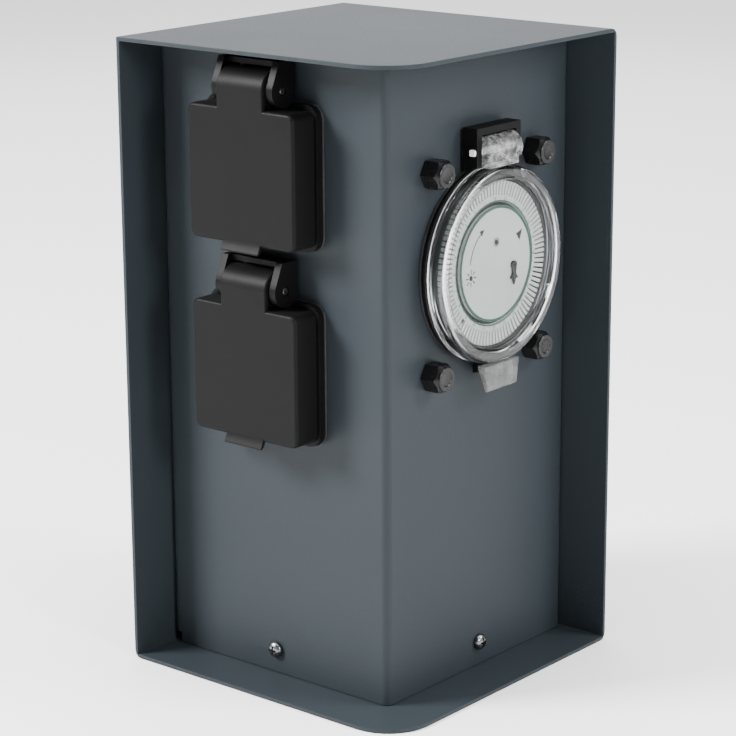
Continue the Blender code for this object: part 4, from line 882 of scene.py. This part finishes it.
def finger(low, high, back, front, degrees):
    """One tappet: a tapered finger with rounded edges and a thumb step at its outer end."""
    shape = bmesh.new()
    bmesh.ops.create_cube(shape, size=1.0)
    for vert in shape.verts:
        outer = vert.co.z > 0
        width = TAPPET_WIDTHS[outer]
        vert.co = Vector((front if vert.co.x > 0 else back, vert.co.y * width, (high if outer else low)))
    for level in (high - 0.0011, high - 0.0008):
        whole = shape.verts[:] + shape.edges[:] + shape.faces[:]
        bmesh.ops.bisect_plane(shape, geom=whole, plane_co=(0, 0, level), plane_no=(0, 0, 1))
    for vert in shape.verts:
        if vert.co.x > back + 1e-5 and vert.co.z < high - 0.0010:
            vert.co.x -= 0.00035
    bevelled(shape, 0.00008, lambda middle: middle.x > back + 1e-4, 1, STEEP)
    return set_on_dial(shape, degrees)


class BuildDial(bpy.types.Operator):
    """The turning dial with its tappets and hour figures"""

    bl_idname = "power_column.dial"
    bl_label = "Dial and tappets"

    def execute(self, context):
        sizes = context.scene.day_timer
        low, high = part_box("tappet_ring")
        outer = (high.y - low.y) / 2
        back, front = low.x, high.x
        root, slide = TAPPET_ROOT, LOOSE_TAPPET_TURN
        step = 360.0 / sizes.tappets
        centre = DIAL_AXIS
        band = [(0.0225, back), (root + 0.0002, back), (root + 0.0002, front - 0.0004)]
        band += [(root - 0.0001, front - 0.0002), (0.0227, front - 0.0002), (0.0225, front - 0.0004)]
        shapes = [lathe(band, centre, "X", 128)]
        for index in range(sizes.tappets):
            degrees = index * step
            if abs(degrees - slide) > step / 2:
                shapes.append(finger(root - 0.0002, outer, back, front, degrees))
        piece("tappets", together(*shapes), "tappet_plastic", "dial", ["tappet_ring"])
        loose = finger(root + 0.0019, outer, back, front, slide)
        tail_low, tail_high = outer - 0.0030, outer - 0.0015
        tail = finger(tail_low, tail_high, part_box("sliding_tappet")[0].x, back + 0.0003, slide)
        slider = together(loose, tail)
        piece("loose_tappet", slider, "tappet_plastic", "tappet", ["sliding_tappet"])
        dressed("insert_plastic", "dial_carrier")
        lift, face = sizes.print_lift, front - 0.0002
        marks = [printed_ring(0.0226, 0.0232, centre, face, lift, 64)]
        for index in range(48):
            length = 0.0006 if index % 2 else 0.0003
            marks.append(radial_mark(0.0231, 0.0232 + length, 0.00014, index * 7.5, face - lift, face + lift))
        for index in range(24):
            marks.append(figure(str(index + 1), sizes.figure_height, 0.0240, -15.0 * index - 15.0, face, lift))
        piece("hour_figures", together(*marks), "print_green", "dial", ())
        return {"FINISHED"}


def radial_mark(low, high, half, degrees, back, front):
    """A short bar that points away from the dial's centre."""
    shape = plate_of([(-half, low), (half, low), (half, high), (-half, high)], "X", back, front)
    return set_on_dial(shape, degrees)


def figure(text, height, radius, degrees, face, lift):
    """A printed number that stands on the dial's edge-on radius."""
    curve = bpy.data.curves.new("figure", "FONT")
    curve.body = text
    curve.size = height
    curve.align_x, curve.align_y = "CENTER", "CENTER"
    curve.resolution_u = 2
    curve.extrude = lift
    obj = bpy.data.objects.new("figure", curve)
    bpy.context.scene.collection.objects.link(obj)
    bpy.context.view_layer.update()
    shape = bmesh.new()
    evaluated = obj.evaluated_get(bpy.context.evaluated_depsgraph_get())
    shape.from_mesh(evaluated.to_mesh())
    evaluated.to_mesh_clear()
    bpy.data.objects.remove(obj)
    bpy.data.curves.remove(curve)
    bmesh.ops.remove_doubles(shape, verts=shape.verts, dist=1e-7)
    face_out = Matrix(((0, 0, 1), (1, 0, 0), (0, 1, 0)))
    bmesh.ops.transform(shape, verts=shape.verts, matrix=face_out.to_4x4())
    bmesh.ops.translate(shape, verts=shape.verts, vec=(0.0, 0.0, radius))
    return set_on_dial(shape, degrees, face)


def printed(outline, face, lift):
    """A flat printed mark from offsets (y, z) about the dial's centre."""
    return plate_of([(DIAL_CENTRE.y + y, DIAL_CENTRE.z + z) for y, z in outline], "X", face - lift, face + lift)


def printed_ring(low, high, centre, face, lift, steps):
    """A flat printed ring between two radii."""
    section = [(low, face - lift), (high, face - lift), (high, face + lift), (low, face + lift)]
    return lathe(section, centre, "X", steps)


class BuildCentre(bpy.types.Operator):
    """The still centre plate with its marks, and the override lever"""

    bl_idname = "power_column.centre"
    bl_label = "Centre plate"

    def execute(self, context):
        lift = context.scene.day_timer.print_lift
        low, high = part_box("centre_plate")
        back, face = low.x, high.x - 0.0003
        radius = (high.y - low.y) / 2
        centre = DIAL_AXIS
        pivot = hinge_centre("override_turn")
        profile = [(0.0, back), (radius, back), (radius, face - 0.0003), (radius - 0.0002, face - 0.0001)]
        profile += [(radius - 0.0005, face), (radius - 0.0011, face), (radius - 0.0013, face - 0.00012)]
        profile += [(radius - 0.0016, face), (0.0, face)]
        plate = lathe(profile, centre, "X", 128)
        hole = plate_of(arc((pivot.y, pivot.z), 0.0015, 0, 345, 23), "X", back - 0.001, face + 0.001)
        plate = carved(plate, "DIFFERENCE", hole)
        piece("centre_disc", plate, "white_plastic", "column", ["centre_plate"])
        marks = [
            printed([(0.0118, 0.0092), (0.0156, 0.0106), (0.0140, 0.0064)], face, lift),
            printed(arc((0.0, 0.0080), 0.0011, 0, 345, 23), face, lift * 2),
            printed_ring(0.0014, 0.0017, (0.0, centre[1], centre[2] + 0.0080), face, lift, 32),
        ]
        sun = (-0.0150, -0.0028)
        marks.append(printed(arc(sun, 0.0010, 0, 340, 17), face, lift))
        for ray in range(8):
            turn = math.tau * ray / 8
            across, along = Vector((-math.sin(turn), math.cos(turn))), Vector((math.cos(turn), math.sin(turn)))
            corners = ((0.0015, -0.0002), (0.0031, -0.0002), (0.0031, 0.0002), (0.0015, 0.0002))
            ends = [Vector(sun) + along * reach + across * side for reach, side in corners]
            marks.append(printed([tuple(end) for end in ends], face, lift))
        sweep = arc((0.0, 0.0), 0.0158, 172, 128, 24) + arc((0.0, 0.0), 0.0154, 128, 172, 24)
        marks.append(printed(sweep, face, lift))
        turn = math.radians(122)
        tip = Vector((0.0156 * math.cos(turn), 0.0156 * math.sin(turn)))
        along = Vector((math.sin(turn), -math.cos(turn)))
        across = Vector((along.y, -along.x))
        head = [tip + along * 0.0012, tip - along * 0.0014 + across * 0.0013, tip - along * 0.0014 - across * 0.0013]
        marks.append(printed([tuple(point) for point in head], face, lift))
        piece("plate_marks", together(*marks), "print_dark", "column", ())
        hoop = printed_ring(0.0204, 0.0215, centre, face, lift, 128)
        piece("plate_ring", hoop, "print_green", "column", ())
        low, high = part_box("override_lever")
        bar_back, bar_front = face + GAP, high.x
        tip_z = low.z
        outline = arc((pivot.y, pivot.z), 0.0015, 20, 160, 12)
        shoulder = ((0.0008, 0.0032), (0.0022, 0.0050), (0.0008, 0.0052))
        outline += [(pivot.y - side, pivot.z - drop) for side, drop in shoulder] + [(pivot.y, tip_z)]
        outline += [(pivot.y + side, pivot.z - drop) for side, drop in reversed(shoulder)]
        lever = plate_of(outline, "X", bar_back, bar_front)
        bevelled(lever, 0.00015, lambda middle: middle.x > bar_back + 1e-5, 2, STEEP)
        stem_top = bar_back + 0.0001
        stem_profile = [(0.0, low.x), (0.0012, low.x), (0.0012, stem_top), (0.0, stem_top)]
        stem = lathe(stem_profile, (0.0, pivot.y, pivot.z), "X", 24)
        whole = together(lever, stem)
        piece("override", whole, "grey_plastic", "override", ["override_lever"])
        return {"FINISHED"}


class BuildWiring(bpy.types.Operator):
    """Terminal block, earth stud and wires"""

    bl_idname = "power_column.wiring"
    bl_label = "Wiring"

    def execute(self, context):
        block = softened("terminal_block", 0.0003)
        piece("terminals", block, "white_plastic", "column", ["terminal_block"])
        dressed("brass", "earth_stud")
        dressed("brown_wire", "wire_live_in")
        dressed("black_wire", "wire_live_switched")
        dressed("blue_wire", "wire_neutral")
        dressed("green_wire", "wire_earth")
        return {"FINISHED"}


class BuildStage(bpy.types.Operator):
    """Floor, lights and camera"""

    bl_idname = "power_column.stage"
    bl_label = "Stage"

    def execute(self, context):
        stage = context.scene.power_stage
        shape = bmesh.new()
        bmesh.ops.create_grid(shape, x_segments=1, y_segments=1, size=15.0)
        mesh = bpy.data.meshes.new("floor")
        shape.to_mesh(mesh)
        shape.free()
        floor = bpy.data.objects.new("floor", mesh)
        context.scene.collection.objects.link(floor)
        paint = Paint("floor", stage.floor_colour, 0.7)
        haze = paint.noise(0.5)
        base = Vector(stage.floor_colour)
        paint.set("Base Color", paint.mix(haze, base * 0.995, base * 1.005))
        floor.data.materials.append(paint.material)
        world = bpy.data.worlds.new("studio")
        world.use_nodes = True
        world.node_tree.nodes["Background"].inputs["Color"].default_value = (1.0, 1.0, 1.0, 1.0)
        world.node_tree.nodes["Background"].inputs["Strength"].default_value = 0.22
        context.scene.world = world
        for name, place, target, size, share in (
            ("key", (-0.85, -1.00, 0.95), (0.0, 0.0, 0.14), 0.5, 5.8),
            ("side", (1.10, 0.55, 0.95), (0.0, 0.0, 0.14), 0.5, 1.9),
            ("front", (1.40, -0.35, 0.60), (0.065, 0.0, 0.16), 0.3, 1.4),
            ("top", (0.0, 0.0, 6.0), (0.0, 0.0, 0.0), 5.0, 54.0),
            ("back", (-0.95, 1.15, 0.80), (0.0, 0.0, 0.24), 0.8, 0.38),
        ):
            light = bpy.data.lights.new(name, "AREA")
            light.shape = "SQUARE"
            light.size = size
            light.energy = stage.light * share
            lamp = bpy.data.objects.new(name, light)
            lamp.location = place
            lamp.rotation_euler = (Vector(target) - Vector(place)).to_track_quat("-Z", "Y").to_euler()
            context.scene.collection.objects.link(lamp)
        camera = bpy.data.cameras.new("camera")
        camera.lens = stage.lens
        camera.clip_start = 0.01
        seen = bpy.data.objects.new("camera", camera)
        azimuth, elevation = math.radians(stage.azimuth), math.radians(stage.elevation)
        away = Vector(
            (math.sin(azimuth) * math.cos(elevation), -math.cos(azimuth) * math.cos(elevation), math.sin(elevation))
        )
        right = (-away).cross(Vector((0.0, 0.0, 1.0))).normalized()
        up = right.cross(-away)
        roll = math.radians(stage.roll)
        across = right * math.cos(roll) + up * math.sin(roll)
        above = up * math.cos(roll) - right * math.sin(roll)
        seen.matrix_world = Matrix((across, above, away)).transposed().to_4x4()
        seen.matrix_world.translation = Vector(stage.camera_place)
        context.scene.collection.objects.link(seen)
        context.scene.camera = seen
        return {"FINISHED"}


# ----------------------------------------
# Panel and registration
# ----------------------------------------

GROUPS = (
    ("power_column", ColumnSettings),
    ("socket_lids", LidSettings),
    ("day_timer", TimerSettings),
    ("power_stage", StageSettings),
)
STEPS = (
    BuildStage,
    BuildColumn,
    BuildSockets,
    BuildTimerBody,
    BuildDial,
    BuildCentre,
    BuildClearLid,
    BuildWiring,
)


class ColumnPanel(bpy.types.Panel):
    """Lists the column's sizes, colours and steps"""

    bl_idname = "VIEW3D_PT_power_column"
    bl_label = "Garden Power Column"
    bl_space_type = "VIEW_3D"
    bl_region_type = "UI"
    bl_category = "Power Column"

    def draw(self, context):
        layout = self.layout
        for name, group in GROUPS:
            column = layout.box().column()
            for setting in group.__annotations__:
                column.prop(getattr(context.scene, name), setting)
        for step in STEPS:
            layout.operator(step.bl_idname)


def register():
    for name, group in GROUPS:
        bpy.utils.register_class(group)
        setattr(bpy.types.Scene, name, PointerProperty(type=group))
    for step in STEPS:
        bpy.utils.register_class(step)
    bpy.utils.register_class(ColumnPanel)


def unregister():
    bpy.utils.unregister_class(ColumnPanel)
    for step in reversed(STEPS):
        bpy.utils.unregister_class(step)
    for name, group in reversed(GROUPS):
        delattr(bpy.types.Scene, name)
        bpy.utils.unregister_class(group)


def main():
    register()
    for step in STEPS:
        module, name = step.bl_idname.split(".")
        getattr(getattr(bpy.ops, module), name)()


if __name__ == "__main__":
    main()
